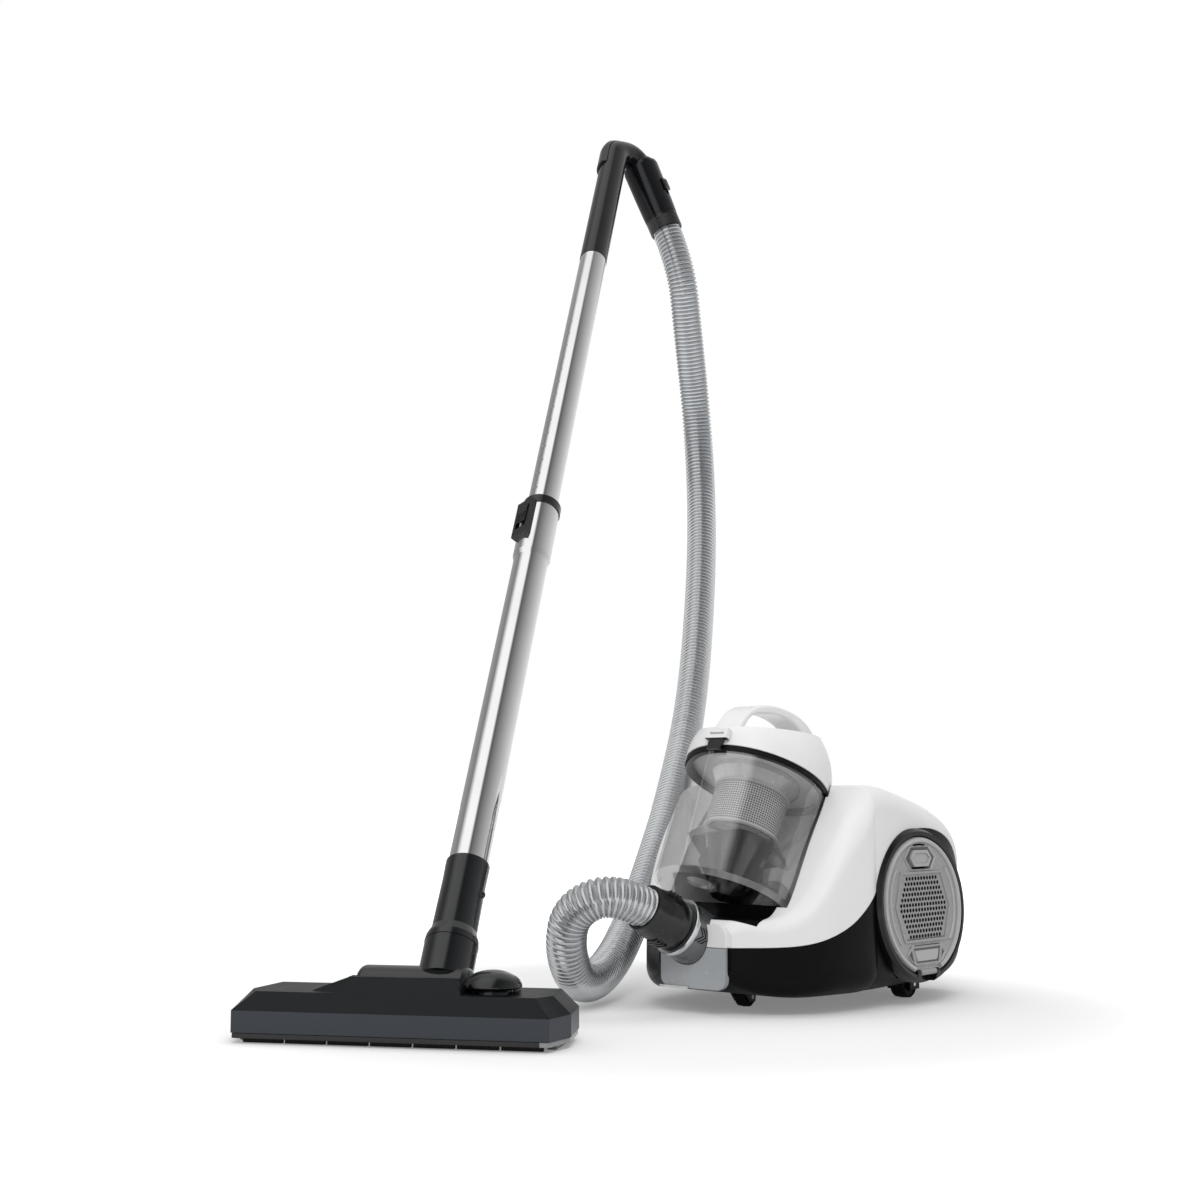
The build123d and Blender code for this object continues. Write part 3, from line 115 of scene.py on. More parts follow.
def makeWorld():
    world = bpy.data.worlds.new("studio")
    bpy.context.scene.world = world
    world.use_nodes = True
    nodes, links = world.node_tree.nodes, world.node_tree.links
    nodes.clear()
    out = nodes.new("ShaderNodeOutputWorld")
    soft = nodes.new("ShaderNodeBackground")
    soft.inputs[0].default_value = (studio["worldTone"],) * 3 + (1,)
    soft.inputs[1].default_value = studio["worldLevel"]
    seen = nodes.new("ShaderNodeBackground")
    seen.inputs[0].default_value = (1, 1, 1, 1)
    path = nodes.new("ShaderNodeLightPath")

    # a ring of soft boxes and dark cards that stands round the wand, only in the reflections
    coords = nodes.new("ShaderNodeTexCoord")
    front = (toViewer - wandAxis * toViewer.dot(wandAxis)).normalized()

    def addDot(direction):
        dot = nodes.new("ShaderNodeVectorMath")
        dot.operation = "DOT_PRODUCT"
        dot.inputs[1].default_value = direction
        links.new(coords.outputs["Generated"], dot.inputs[0])
        return dot.outputs["Value"]

    turn = addMath(nodes, links, "ARCTAN2", addDot(wandAxis.cross(front)), addDot(front))
    share = addMath(nodes, links, "ADD", addMath(nodes, links, "MULTIPLY", turn, 0.5 / pi), 0.5)
    ramp = nodes.new("ShaderNodeValToRGB")
    stops = ramp.color_ramp.elements
    for i, (angle, tone) in enumerate(studio["mirrored"]):
        stop = stops[i] if i < 2 else stops.new(0.5)
        stop.position = (angle + 180) / 360
        stop.color = (tone, tone, tone, 1)
    links.new(share, ramp.inputs[0])
    height = nodes.new("ShaderNodeMapRange")
    height.inputs["From Min"].default_value = studio["poleStart"]
    height.inputs["From Max"].default_value = studio["poleEnd"]
    links.new(addMath(nodes, links, "ABSOLUTE", addDot(wandAxis)), height.inputs["Value"])
    ring = nodes.new("ShaderNodeMix")
    ring.data_type = "RGBA"
    ring.inputs["B"].default_value = (studio["alongWand"],) * 3 + (1,)
    links.new(height.outputs[0], ring.inputs["Factor"])
    links.new(ramp.outputs[0], ring.inputs["A"])
    mirrored = nodes.new("ShaderNodeBackground")
    links.new(ring.outputs["Result"], mirrored.inputs[0])

    plain = nodes.new("ShaderNodeMixShader")
    clear = addMath(nodes, links, "MAXIMUM", path.outputs["Is Camera Ray"],
                    path.outputs["Is Transmission Ray"])
    links.new(clear, plain.inputs[0])
    links.new(soft.outputs[0], plain.inputs[1])
    links.new(seen.outputs[0], plain.inputs[2])
    both = nodes.new("ShaderNodeMixShader")
    links.new(path.outputs["Is Glossy Ray"], both.inputs[0])
    links.new(plain.outputs[0], both.inputs[1])
    links.new(mirrored.outputs[0], both.inputs[2])
    links.new(both.outputs[0], out.inputs[0])


def makeLamp(name, place, target, size, power):
    lamp = bpy.data.lights.new(name, "AREA")
    lamp.shape = "RECTANGLE"
    lamp.size, lamp.size_y = size
    lamp.energy = power
    holder = bpy.data.objects.new(name, lamp)
    bpy.context.scene.collection.objects.link(holder)
    holder.visible_glossy = False      # shiny surfaces mirror the world's ring instead
    holder.location = home + Vector(place)
    holder.rotation_euler = (Vector(target) - Vector(place)).to_track_quat("-Z", "Y").to_euler()


def makeFloor():
    mesh = bpy.data.meshes.new("floor")
    reach = studio["floorReach"]
    mesh.from_pydata([(-reach, -reach, 0), (reach, -reach, 0), (reach, reach, 0), (-reach, reach, 0)], [],
                     [(0, 1, 2, 3)])
    floor = bpy.data.objects.new("floor", mesh)
    bpy.context.scene.collection.objects.link(floor)
    mat = bpy.data.materials.new("floorPaper")
    mat.use_nodes = True
    nodes, links = mat.node_tree.nodes, mat.node_tree.links
    nodes.clear()
    out = nodes.new("ShaderNodeOutputMaterial")
    both = nodes.new("ShaderNodeAddShader")
    paper = nodes.new("ShaderNodeBsdfDiffuse")
    paper.inputs[0].default_value = (studio["floorTone"],) * 3 + (1,)
    lift = nodes.new("ShaderNodeEmission")
    path = nodes.new("ShaderNodeLightPath")
    place = nodes.new("ShaderNodeNewGeometry")
    away = nodes.new("ShaderNodeVectorMath")
    away.operation = "DISTANCE"
    away.inputs[1].default_value = home + Vector(studio["liftMiddle"])
    links.new(place.outputs["Position"], away.inputs[0])
    fade = nodes.new("ShaderNodeMapRange")
    fade.interpolation_type = "SMOOTHSTEP"
    fade.inputs["From Min"].default_value = studio["liftStart"]
    fade.inputs["From Max"].default_value = studio["liftEnd"]
    fade.inputs["To Min"].default_value = studio["nearLift"]
    fade.inputs["To Max"].default_value = studio["farLift"]
    links.new(away.outputs["Value"], fade.inputs["Value"])
    seen = addMath(nodes, links, "MAXIMUM", path.outputs["Is Camera Ray"],
                   path.outputs["Is Transmission Ray"])
    shown = addMath(nodes, links, "MULTIPLY", path.outputs["Is Glossy Ray"], studio["mirroredLift"])
    seen = addMath(nodes, links, "MAXIMUM", seen, shown)
    links.new(addMath(nodes, links, "MULTIPLY", seen, fade.outputs[0]), lift.inputs[1])
    links.new(paper.outputs[0], both.inputs[0])
    links.new(lift.outputs[0], both.inputs[1])
    links.new(both.outputs[0], out.inputs[0])
    mesh.materials.append(mat)


makeWorld()
makeLamp("key", (1.6, -2.2, 2.6), (-0.1, -0.1, 0.4), (1.6, 1.6), studio["keyPower"])
makeLamp("fill", (-2.4, -1.8, 1.3), (-0.2, 0, 0.4), (1.4, 2.2), studio["fillPower"])
makeLamp("top", (-0.3, 0.3, 3.2), (-0.2, 0, 0), (2.4, 2.4), studio["topPower"])
makeFloor()
bpy.context.scene.view_settings.view_transform = "Standard"
print("studio set")


def startMaterial(name):
    mat = bpy.data.materials.new(name)
    mat.use_nodes = True
    nodes, links = mat.node_tree.nodes, mat.node_tree.links
    nodes.clear()
    out = nodes.new("ShaderNodeOutputMaterial")
    shader = nodes.new("ShaderNodeBsdfPrincipled")
    links.new(shader.outputs[0], out.inputs[0])
    return mat, nodes, links, shader


def addNoise(nodes, links, scale, detail=3, stretch=(1, 1, 1)):
    coords = nodes.new("ShaderNodeTexCoord")
    mapping = nodes.new("ShaderNodeMapping")
    mapping.inputs["Scale"].default_value = stretch
    noise = nodes.new("ShaderNodeTexNoise")
    noise.inputs["Scale"].default_value = scale
    noise.inputs["Detail"].default_value = detail
    links.new(coords.outputs["Object"], mapping.inputs[0])
    links.new(mapping.outputs[0], noise.inputs["Vector"])
    return noise


def addRange(nodes, links, value, low, high):
    spread = nodes.new("ShaderNodeMapRange")
    spread.inputs["From Min"].default_value = 0.3
    spread.inputs["From Max"].default_value = 0.7
    spread.inputs["To Min"].default_value = low
    spread.inputs["To Max"].default_value = high
    links.new(value, spread.inputs["Value"])
    return spread.outputs[0]


def blendColors(nodes, links, factor, first, second):
    mix = nodes.new("ShaderNodeMix")
    mix.data_type = "RGBA"
    mix.inputs["A"].default_value = tuple(first) + (1,)
    mix.inputs["B"].default_value = tuple(second) + (1,)
    links.new(factor, mix.inputs["Factor"])
    return mix.outputs["Result"]


def mouldedPlastic(name, look):
    # a tone that drifts slightly, a fine moulded grain and softened edges
    mat, nodes, links, shader = startMaterial(name)
    drift = addNoise(nodes, links, 9, 2)
    tone = Vector(look["tone"])
    darker = tuple(tone * (1 - look.get("drift", 0.05)))
    factor = addRange(nodes, links, drift.outputs["Fac"], 0, 1)
    links.new(blendColors(nodes, links, factor, tone, darker), shader.inputs["Base Color"])
    wear = addNoise(nodes, links, 55, 5)
    rough = look["rough"]
    spread = look.get("roughSpread", 0.05)
    links.new(addRange(nodes, links, wear.outputs["Fac"], rough - spread, rough + spread),
              shader.inputs["Roughness"])
    grain = addNoise(nodes, links, 1400, 2)
    bump = nodes.new("ShaderNodeBump")
    bump.inputs["Strength"].default_value = look.get("grain", 0.12)
    bump.inputs["Distance"].default_value = 0.0002
    links.new(grain.outputs["Fac"], bump.inputs["Height"])
    edge = nodes.new("ShaderNodeBevel")
    edge.samples = 4
    edge.inputs["Radius"].default_value = look.get("edge", 0.0008)
    links.new(edge.outputs[0], bump.inputs["Normal"])
    links.new(bump.outputs[0], shader.inputs["Normal"])
    shader.inputs["Coat Weight"].default_value = look.get("coat", 0.0)
    shader.inputs["Coat Roughness"].default_value = look.get("coatRough", 0.08)
    shader.inputs["Specular IOR Level"].default_value = look.get("specular", 0.5)
    shader.inputs["Metallic"].default_value = look.get("metal", 0.0)
    return mat


plastics = {
    "paleShell": {"tone": (0.84, 0.84, 0.84), "rough": 0.26, "roughSpread": 0.01, "drift": 0.008,
                  "grain": 0.01, "coat": 0.2, "edge": 0.001},
    "darkShell": {"tone": (0.0015, 0.0015, 0.002), "rough": 0.32, "grain": 0.01, "specular": 0.12,
                  "edge": 0.001},
    "trimGrey": {"tone": (0.44, 0.46, 0.475), "rough": 0.24, "grain": 0.02, "coat": 0.3, "metal": 0.1},
    "elbowGrey": {"tone": (0.16, 0.17, 0.18), "rough": 0.2, "grain": 0.01, "coat": 0.6, "metal": 0.6},
    "ringDark": {"tone": (0.005, 0.005, 0.006), "rough": 0.24, "grain": 0.01, "specular": 0.35,
                 "coat": 0.15},
    "coverGrey": {"tone": (0.33, 0.33, 0.335), "rough": 0.26, "grain": 0.03, "coat": 0.3},
    "tabGrey": {"tone": (0.42, 0.42, 0.425), "rough": 0.24, "grain": 0.02, "coat": 0.4},
    "bezelGrey": {"tone": (0.45, 0.45, 0.455), "rough": 0.18, "grain": 0.02, "coat": 0.6},
    "plateGrey": {"tone": (0.3, 0.3, 0.305), "rough": 0.28, "grain": 0.03, "coat": 0.3},
    # dark grey of the tab and grip wells: painted shade in the recesses
    "recessPaintedShade": {"tone": (0.085, 0.085, 0.09), "rough": 0.35, "grain": 0.05, "coat": 0.2},
    # black for the sleeve inside the screen, the grille backing, the cover slot and the elbow chevrons:
    # painted shade of gaps, holes and grooves
    "gapPaintedShade": {"tone": (0.002, 0.002, 0.002), "rough": 0.6, "grain": 0.05, "specular": 0.1},
    "screenGrey": {"tone": (0.6, 0.6, 0.61), "rough": 0.3, "grain": 0.02, "coat": 0.3},
    "blackPlastic": {"tone": (0.003, 0.003, 0.0035), "rough": 0.3, "grain": 0.03, "specular": 0.4,
                     "coat": 0.5, "coatRough": 0.16},
    "handleGrey": {"tone": (0.003, 0.0035, 0.005), "rough": 0.24, "grain": 0.01, "specular": 0.35,
                   "coat": 0.35, "coatRough": 0.12},
    "neckSlate": {"tone": (0.002, 0.0028, 0.004), "rough": 0.24, "grain": 0.01, "specular": 0.4,
                  "coat": 0.8, "coatRough": 0.12},
    "headSlate": {"tone": (0.009, 0.0105, 0.013), "rough": 0.34, "grain": 0.02, "specular": 0.35,
                  "coat": 0.25, "coatRough": 0.2, "edge": 0.0014},
    "sealRubber": {"tone": (0.005, 0.005, 0.005), "rough": 0.5, "grain": 0.2, "specular": 0.2},
    "wheelRubber": {"tone": (0.006, 0.006, 0.0065), "rough": 0.55, "grain": 0.3, "specular": 0.2},
    "meshGrey": {"tone": (0.68, 0.68, 0.69), "rough": 0.25, "grain": 0.02, "coat": 0.6, "metal": 0.3},
    "skirtGrey": {"tone": (0.34, 0.34, 0.35), "rough": 0.3, "grain": 0.05, "coat": 0.2},
    "coneBlack": {"tone": (0.006, 0.006, 0.0065), "rough": 0.16, "grain": 0.01, "coat": 1.0},
    "motorShell": {"tone": (0.06, 0.06, 0.06), "rough": 0.5, "grain": 0.2},
    "reelPlastic": {"tone": (0.3, 0.3, 0.3), "rough": 0.5, "grain": 0.15},
    "boardGreen": {"tone": (0.02, 0.09, 0.04), "rough": 0.45, "grain": 0.1},
    "runnerGrey": {"tone": (0.3, 0.31, 0.32), "rough": 0.38, "grain": 0.1},
    "hoseSilver": {"tone": (0.64, 0.655, 0.67), "rough": 0.24, "roughSpread": 0.01, "grain": 0.0,
                   "metal": 0.9, "drift": 0.04, "edge": 0.0003},
}
material = {name: mouldedPlastic(name, look) for name, look in plastics.items()}


def chromeMetal(name, tone, rough, brushed):
    mat, nodes, links, shader = startMaterial(name)
    shader.inputs["Metallic"].default_value = 1
    haze = addNoise(nodes, links, 30, 4)
    links.new(blendColors(nodes, links, addRange(nodes, links, haze.outputs["Fac"], 0, 1), tone,
                          tuple(Vector(tone) * 0.96)), shader.inputs["Base Color"])
    streaks = addNoise(nodes, links, 60, 3, (40, 40, 1) if brushed else (1, 1, 1))
    links.new(addRange(nodes, links, streaks.outputs["Fac"], rough * 0.7, rough * 1.3),
              shader.inputs["Roughness"])
    bump = nodes.new("ShaderNodeBump")
    bump.inputs["Strength"].default_value = 0.25 if brushed else 0.04
    bump.inputs["Distance"].default_value = 0.0001
    links.new(streaks.outputs["Fac"], bump.inputs["Height"])
    links.new(bump.outputs[0], shader.inputs["Normal"])
    return mat


material["chrome"] = chromeMetal("chrome", (0.93, 0.93, 0.93), 0.09, False)
material["steel"] = chromeMetal("steel", (0.6, 0.6, 0.6), 0.3, True)
material["statorIron"] = chromeMetal("statorIron", (0.3, 0.3, 0.31), 0.45, True)
material["fanAlloy"] = chromeMetal("fanAlloy", (0.7, 0.7, 0.71), 0.35, True)
material["satinSilver"] = chromeMetal("satinSilver", (0.72, 0.73, 0.74), 0.22, False)


def clearPlastic(name, look):
    # tinted see-through wall with a gloss that grows towards its edges
    mat = bpy.data.materials.new(name)
    mat.use_nodes = True
    nodes, links = mat.node_tree.nodes, mat.node_tree.links
    nodes.clear()
    out = nodes.new("ShaderNodeOutputMaterial")
    mix = nodes.new("ShaderNodeMixShader")
    through = nodes.new("ShaderNodeBsdfTransparent")
    facing = nodes.new("ShaderNodeLayerWeight")
    facing.inputs["Blend"].default_value = 0.35
    tint = blendColors(nodes, links, facing.outputs["Facing"], look["faceOn"], look["edgeOn"])
    # a ray that leaves the wall again is neither tinted nor mirrored a second time
    face = nodes.new("ShaderNodeNewGeometry")
    leaving = nodes.new("ShaderNodeMix")
    leaving.data_type = "RGBA"
    leaving.inputs["B"].default_value = (1, 1, 1, 1)
    links.new(face.outputs["Backfacing"], leaving.inputs["Factor"])
    links.new(tint, leaving.inputs["A"])
    links.new(leaving.outputs["Result"], through.inputs["Color"])
    gloss = nodes.new("ShaderNodeBsdfGlossy")
    wear = addNoise(nodes, links, 40, 4)
    links.new(addRange(nodes, links, wear.outputs["Fac"], look["rough"] * 0.8, look["rough"] * 1.2),
              gloss.inputs["Roughness"])
    shine = nodes.new("ShaderNodeMapRange")
    shine.inputs["To Min"].default_value = look["shineFaceOn"]
    shine.inputs["To Max"].default_value = look["shineEdgeOn"]
    links.new(facing.outputs["Fresnel"], shine.inputs["Value"])
    path = nodes.new("ShaderNodeLightPath")
    unlit = addMath(nodes, links, "MAXIMUM", face.outputs["Backfacing"], path.outputs["Is Shadow Ray"])
    entering = addMath(nodes, links, "SUBTRACT", 1.0, unlit)
    links.new(addMath(nodes, links, "MULTIPLY", shine.outputs[0], entering), mix.inputs[0])
    links.new(through.outputs[0], mix.inputs[1])
    links.new(gloss.outputs[0], mix.inputs[2])
    links.new(mix.outputs[0], out.inputs[0])
    return mat


material["smokeClear"] = clearPlastic("smokeClear", {
    "faceOn": (0.99, 0.99, 0.99), "edgeOn": (0.72, 0.72, 0.72), "rough": 0.03, "shineFaceOn": 0.22,
    "shineEdgeOn": 0.75})
material["skirtClear"] = clearPlastic("skirtClear", {
    "faceOn": (0.95, 0.95, 0.95), "edgeOn": (0.85, 0.85, 0.85), "rough": 0.12, "shineFaceOn": 0.35,
    "shineEdgeOn": 0.8})


def openFelt(name, tone, scale):
    mat, nodes, links, shader = startMaterial(name)
    cells = nodes.new("ShaderNodeTexVoronoi")
    cells.inputs["Scale"].default_value = scale
    coords = nodes.new("ShaderNodeTexCoord")
    links.new(coords.outputs["Object"], cells.inputs["Vector"])
    links.new(blendColors(nodes, links, cells.outputs["Distance"], tuple(Vector(tone) * 0.55), tone),
              shader.inputs["Base Color"])
    shader.inputs["Roughness"].default_value = 0.9
    bump = nodes.new("ShaderNodeBump")
    bump.inputs["Strength"].default_value = 0.7
    bump.inputs["Distance"].default_value = 0.0006
    links.new(cells.outputs["Distance"], bump.inputs["Height"])
    links.new(bump.outputs[0], shader.inputs["Normal"])
    return mat


material["filterFelt"] = openFelt("filterFelt", (0.012, 0.012, 0.012), 700)
material["foam"] = openFelt("foam", (0.06, 0.06, 0.06), 900)
material["bristle"] = openFelt("bristle", (0.03, 0.03, 0.03), 1500)


def twoTone(name, near, far, point, direction, specular=0.5, coat=0.2, rough=0.28):
    # two tones that meet on a plane through the point
    mat, nodes, links, shader = startMaterial(name)
    coords = nodes.new("ShaderNodeTexCoord")
    along = nodes.new("ShaderNodeVectorMath")
    along.operation = "DOT_PRODUCT"
    along.inputs[1].default_value = direction
    links.new(coords.outputs["Object"], along.inputs[0])
    past = addMath(nodes, links, "GREATER_THAN", along.outputs["Value"],
                   Vector(point).dot(Vector(direction)))
    links.new(blendColors(nodes, links, past, near, far), shader.inputs["Base Color"])
    wear = addNoise(nodes, links, 55, 4)
    links.new(addRange(nodes, links, wear.outputs["Fac"], rough - 0.02, rough + 0.02),
              shader.inputs["Roughness"])
    edge = nodes.new("ShaderNodeBevel")
    edge.samples = 4
    edge.inputs["Radius"].default_value = 0.0008
    links.new(edge.outputs[0], shader.inputs["Normal"])
    shader.inputs["Specular IOR Level"].default_value = specular
    shader.inputs["Coat Weight"].default_value = coat
    return mat


material["pedalTwoTone"] = twoTone("pedalTwoTone", (0.05, 0.05, 0.052), (0.32, 0.32, 0.325),
                                   home + Vector((0, 0.032, 0)), (0, 1, 0))
material["latchTwoTone"] = twoTone("latchTwoTone", (0.005, 0.005, 0.0055), (0.8, 0.8, 0.8),
                                   binTop + Vector(binAxis) * 0.0093, binAxis)
# the head housing is lighter below 26.8 mm and near black above: painted shade of a lit front and a less lit
# top
material["headPaintedShade"] = twoTone("headPaintedShade", (0.044, 0.05, 0.06), (0.003, 0.0037, 0.005), (0, 0, 0.0268),
                                  (0, 0, 1), specular=0.22, coat=0.0, rough=0.34)
material["soleTwoTone"] = twoTone("soleTwoTone", (0.004, 0.004, 0.0045), (0.27, 0.27, 0.275),
                                  headMiddle + wandSide * 0.098, wandSide)
print("materials made")

finishes = {
    "paleShell": ["upper_shell", "container_lid", "carry_handle"],
    "darkShell": ["lower_shell"],
    "trimGrey": ["front_trim_plate"],
    "elbowGrey": ["inlet_elbow"],
    "ringDark": ["side_ring_right", "side_ring_left"],
    "coverGrey": ["side_cover_right", "side_cover_left"],
    "tabGrey": ["cover_tab_right", "cover_tab_left"],
    "latchTwoTone": ["release_latch"],
    "blackPlastic": ["castor_fork", "hose_cuff", "hose_collar", "air_slider", "tube_collar",
                     "latch_button", "brush_carrier", "cord_gland"],
    "coneBlack": ["cyclone_cone"],
    "soleTwoTone": ["sole_plate"],
    "headPaintedShade": ["head_housing"],
    "handleGrey": ["handle_pipe", "handle_sleeve", "handle_cap"],
    "neckSlate": ["neck_tube", "neck_barrel"],
    "headSlate": ["rocker_pedal"],
    "sealRubber": ["lid_seal", "motor_mounts"],
    "wheelRubber": ["castor_wheel", "rear_wheel_right", "rear_wheel_left", "head_wheel_left",
                    "head_wheel_right"],
    "meshGrey": ["cyclone_shroud"],
    "skirtGrey": ["shroud_skirt"],
    "motorShell": ["motor_housing"],
    "reelPlastic": ["cord_reel"],
    "boardGreen": ["switch_board"],
    "runnerGrey": ["side_runners"],
    "chrome": ["inner_tube", "outer_tube"],
    "steel": ["rear_axles", "castor_axle", "shell_screws", "pedal_springs", "latch_spring", "head_pins"],
    "statorIron": ["motor_stator"],
    "fanAlloy": ["fan_impeller"],
    "smokeClear": ["dust_container"],
    "filterFelt": ["exhaust_filters"],
    "foam": ["foam_filter"],
    "bristle": ["bristle_strip"],
    "pedalTwoTone": ["power_pedal", "rewind_pedal"],
}
for finish, names in finishes.items():
    for name in names:
        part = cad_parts[name]
        part.data.materials.clear()
        part.data.materials.append(material[finish])


def makePiece(name, vertices, faces, finish, body, sharp=38, recalc=True):
    mesh = bpy.data.meshes.new(name)
    mesh.from_pydata(vertices, [], faces)
    if recalc:
        work = bmesh.new()
        work.from_mesh(mesh)
        bmesh.ops.recalc_face_normals(work, faces=work.faces)
        work.to_mesh(mesh)
        work.free()
    mesh.update()
    mesh.shade_smooth()
    mesh.set_sharp_from_angle(angle=radians(sharp))
    piece = bpy.data.objects.new(name, mesh)
    bpy.context.scene.collection.objects.link(piece)
    mesh.materials.append(material[finish])
    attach(piece, body)
    return piece


def placeFrame(point, out, along):
    # z points out, x runs along
    z = Vector(out).normalized()
    x = (Vector(along) - z * Vector(along).dot(z)).normalized()
    place = Matrix((x, z.cross(x), z)).transposed().to_4x4()
    place.translation = point
    return place


def lathe(name, profile, place, finish, body, around=120, span=(0, 360), closed=True, ripple=None):
    # turns (radius, height) points round the frame's z, all the way or over a span of degrees
    whole = span[1] - span[0] >= 360
    turns = around if whole else around + 1
    count = len(profile)
    vertices, faces = [], []
    for j in range(turns):
        turn = radians(span[0] + (span[1] - span[0]) * j / around)
        for r, z in profile:
            if ripple:
                r, z = ripple(r, z, turn)
            vertices.append(place @ Vector((r * cos(turn), r * sin(turn), z)))
    for j in range(around):
        k = (j + 1) % turns
        for i in range(count if closed else count - 1):
            m = (i + 1) % count
            faces.append((j * count + i, k * count + i, k * count + m, j * count + m))
    if closed and not whole:
        faces.append(tuple(range(count)))
        faces.append(tuple(around * count + i for i in reversed(range(count))))
    return makePiece(name, vertices, faces, finish, body)


binFrame = placeFrame(binTop, binAxis, (1, 0, 0))
filterSize = {
    "screenRadius": 0.0366,
    "screenTop": -0.0135,
    "screenFoot": -0.0535,
    "cellsAround": 96,
    "cellRows": 17,
    "hole": 0.62,                # share of a cell that is open
    "skirtTop": -0.0575,
    "skirtDrop": 0.0155,
    "skirtWaves": 3,
    "skirtSwing": 0.006,
}


def makeFilterScreen():
    size = filterSize
    vertices, faces = [], []
    radius = size["screenRadius"]
    for row in range(size["cellRows"]):
        for column in range(size["cellsAround"]):
            start = len(vertices)
            for share in (1, size["hole"]):
                for across, up in ((-1, -1), (1, -1), (1, 1), (-1, 1)):
                    turn = 2 * pi * (column + 0.5 + across * share / 2) / size["cellsAround"]
                    height = size["screenFoot"] + (size["screenTop"] - size["screenFoot"]) * (
                        row + 0.5 + up * share / 2) / size["cellRows"]
                    vertices.append(binFrame @ Vector((radius * cos(turn), radius * sin(turn), height)))
            for i in range(4):
                k = (i + 1) % 4
                faces.append((start + i, start + k, start + 4 + k, start + 4 + i))
    makePiece("filterScreen", vertices, faces, "screenGrey", "lid", recalc=False)
    # a black sleeve just inside the screen: painted shade for the dark hollow behind the mesh
    shadeRadius = radius - 0.0004
    lathe("filterShadeSleeve", [(shadeRadius, size["screenFoot"]), (shadeRadius, size["screenTop"])], binFrame, "gapPaintedShade", "lid",
          closed=False)
    for name, low, high in (("screenRimTop", size["screenTop"], size["screenTop"] + 0.003),
                            ("screenRimFoot", size["screenFoot"] - 0.003, size["screenFoot"])):
        lathe(name, [(radius - 0.001, low), (radius + 0.0009, low + 0.0006), (radius + 0.0009, high - 0.0006),
                     (radius - 0.001, high)], binFrame, "screenGrey", "lid")


def skirtRipple(r, z, turn):
    # the skirt's edge hangs in waves
    drop = max(0.0, (filterSize["skirtTop"] - z) / filterSize["skirtDrop"])
    wave = sin(filterSize["skirtWaves"] * turn + 0.6)
    return r + 0.0015 * wave * drop, z - filterSize["skirtSwing"] * wave * drop * drop


def makeSkirt():
    outside = [(0.0372, filterSize["skirtTop"]), (0.0392, -0.0606), (0.0432, -0.0642), (0.0478, -0.0682),
               (0.0508, -0.073)]
    inside = [(r - 0.0012, z - 0.0004) for r, z in reversed(outside)]
    skirt = lathe("wavySkirt", outside + inside, binFrame, "skirtClear", "lid", ripple=skirtRipple)
    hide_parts("shroud_skirt")


makeFilterScreen()
makeSkirt()
print("container dressed")

coverSize = {
    "middle": (0.127, -0.022, 0.095),      # of the right cover, from home
    "toe": 4,
    "camber": 3.5,
    "backHeight": 0.00092,
    "sunkHeight": 0.0008,                  # foot of the plates that close a well
    "plateHeight": 0.00105,
    "rows": 12,
    "widestRow": 16,
    "pitch": 0.005,
    "hole": 0.002,
    "firstRow": 0.026,
    "panelHigh": 0.031,                    # half height and half widths of the six-sided panel
    "panelWide": 0.044,
    "panelTaper": 0.011,
    "grille": [(0.0325, 0.0305), (0.0434, 0.0), (0.0325, -0.0305)],
    "bezel": [(0.0645, 0.0007), (0.0645, 0.0024), (0.0638, 0.0031), (0.0624, 0.0033),
              (0.0611, 0.0027), (0.0602, 0.0013), (0.0602, 0.0007)],
    # corners of the right half, from the top down; the left half mirrors them
    "tabRim": [(0.0170, 0.0570), (0.0275, 0.0455), (0.0185, 0.0333)],
    "tabWell": [(0.0132, 0.0535), (0.0185, 0.0450), (0.0185, 0.0415), (0.0132, 0.0335)],
    "gripRim": [(0.0230, -0.0362), (0.0330, -0.0455), (0.0270, -0.0525), (0.0185, -0.0568)],
    "gripFace": [(0.0205, -0.0420), (0.0190, -0.0480), (0.0165, -0.0525)],
    "rimWidth": 0.0017,
    "rimHeight": 0.0023,
    "sideRib": [(0.0557, 0.0007), (0.0553, 0.0019), (0.0543, 0.0023), (0.0533, 0.0019), (0.0527, 0.0007)],
    # a black strip for the curved slot at the cover's top: painted shade
    "slotShade": [(0.0574, 0.0007), (0.0574, 0.001), (0.0592, 0.001), (0.0592, 0.0007)],
}


def panelEdge(y):
    # half width of the six-sided panel at a height
    return coverSize["panelWide"] - coverSize["panelTaper"] * abs(y) / coverSize["panelHigh"]


def mirrorCorners(corners):
    return list(corners) + [(-x, y) for x, y in reversed(corners)]


def shrinkCorners(corners, amount):
    # moves every corner towards the middle of the outline
    middle = Vector((0, sum(y for x, y in corners) / len(corners)))
    return [tuple(Vector(c) + (middle - Vector(c)).normalized() * amount) for c in corners]


def stackLoops(name, loops, place, finish, body, topped=False):
    # joins outlines of equal count at given heights, the last one may be closed with a face
    vertices, faces = [], []
    count = len(loops[0][0])
    for corners, height in loops:
        vertices += [place @ Vector((x, y, height)) for x, y in corners]
    for n in range(len(loops) - 1):
        for i in range(count):
            k = (i + 1) % count
            faces.append((n * count + i, n * count + k, (n + 1) * count + k, (n + 1) * count + i))
    if topped:
        faces.append(tuple((len(loops) - 1) * count + i for i in range(count)))
    return makePiece(name, vertices, faces, finish, body, sharp=25)


def makeRim(name, corners, place, finish, body):
    width, high = coverSize["rimWidth"], coverSize["rimHeight"]
    low = coverSize["backHeight"]
    loops = [(corners, low)]
    for share, height in ((0.3, high), (0.7, high), (1.5, low)):
        loops.append((shrinkCorners(corners, width * share), height))
    stackLoops(name, loops, place, finish, body)


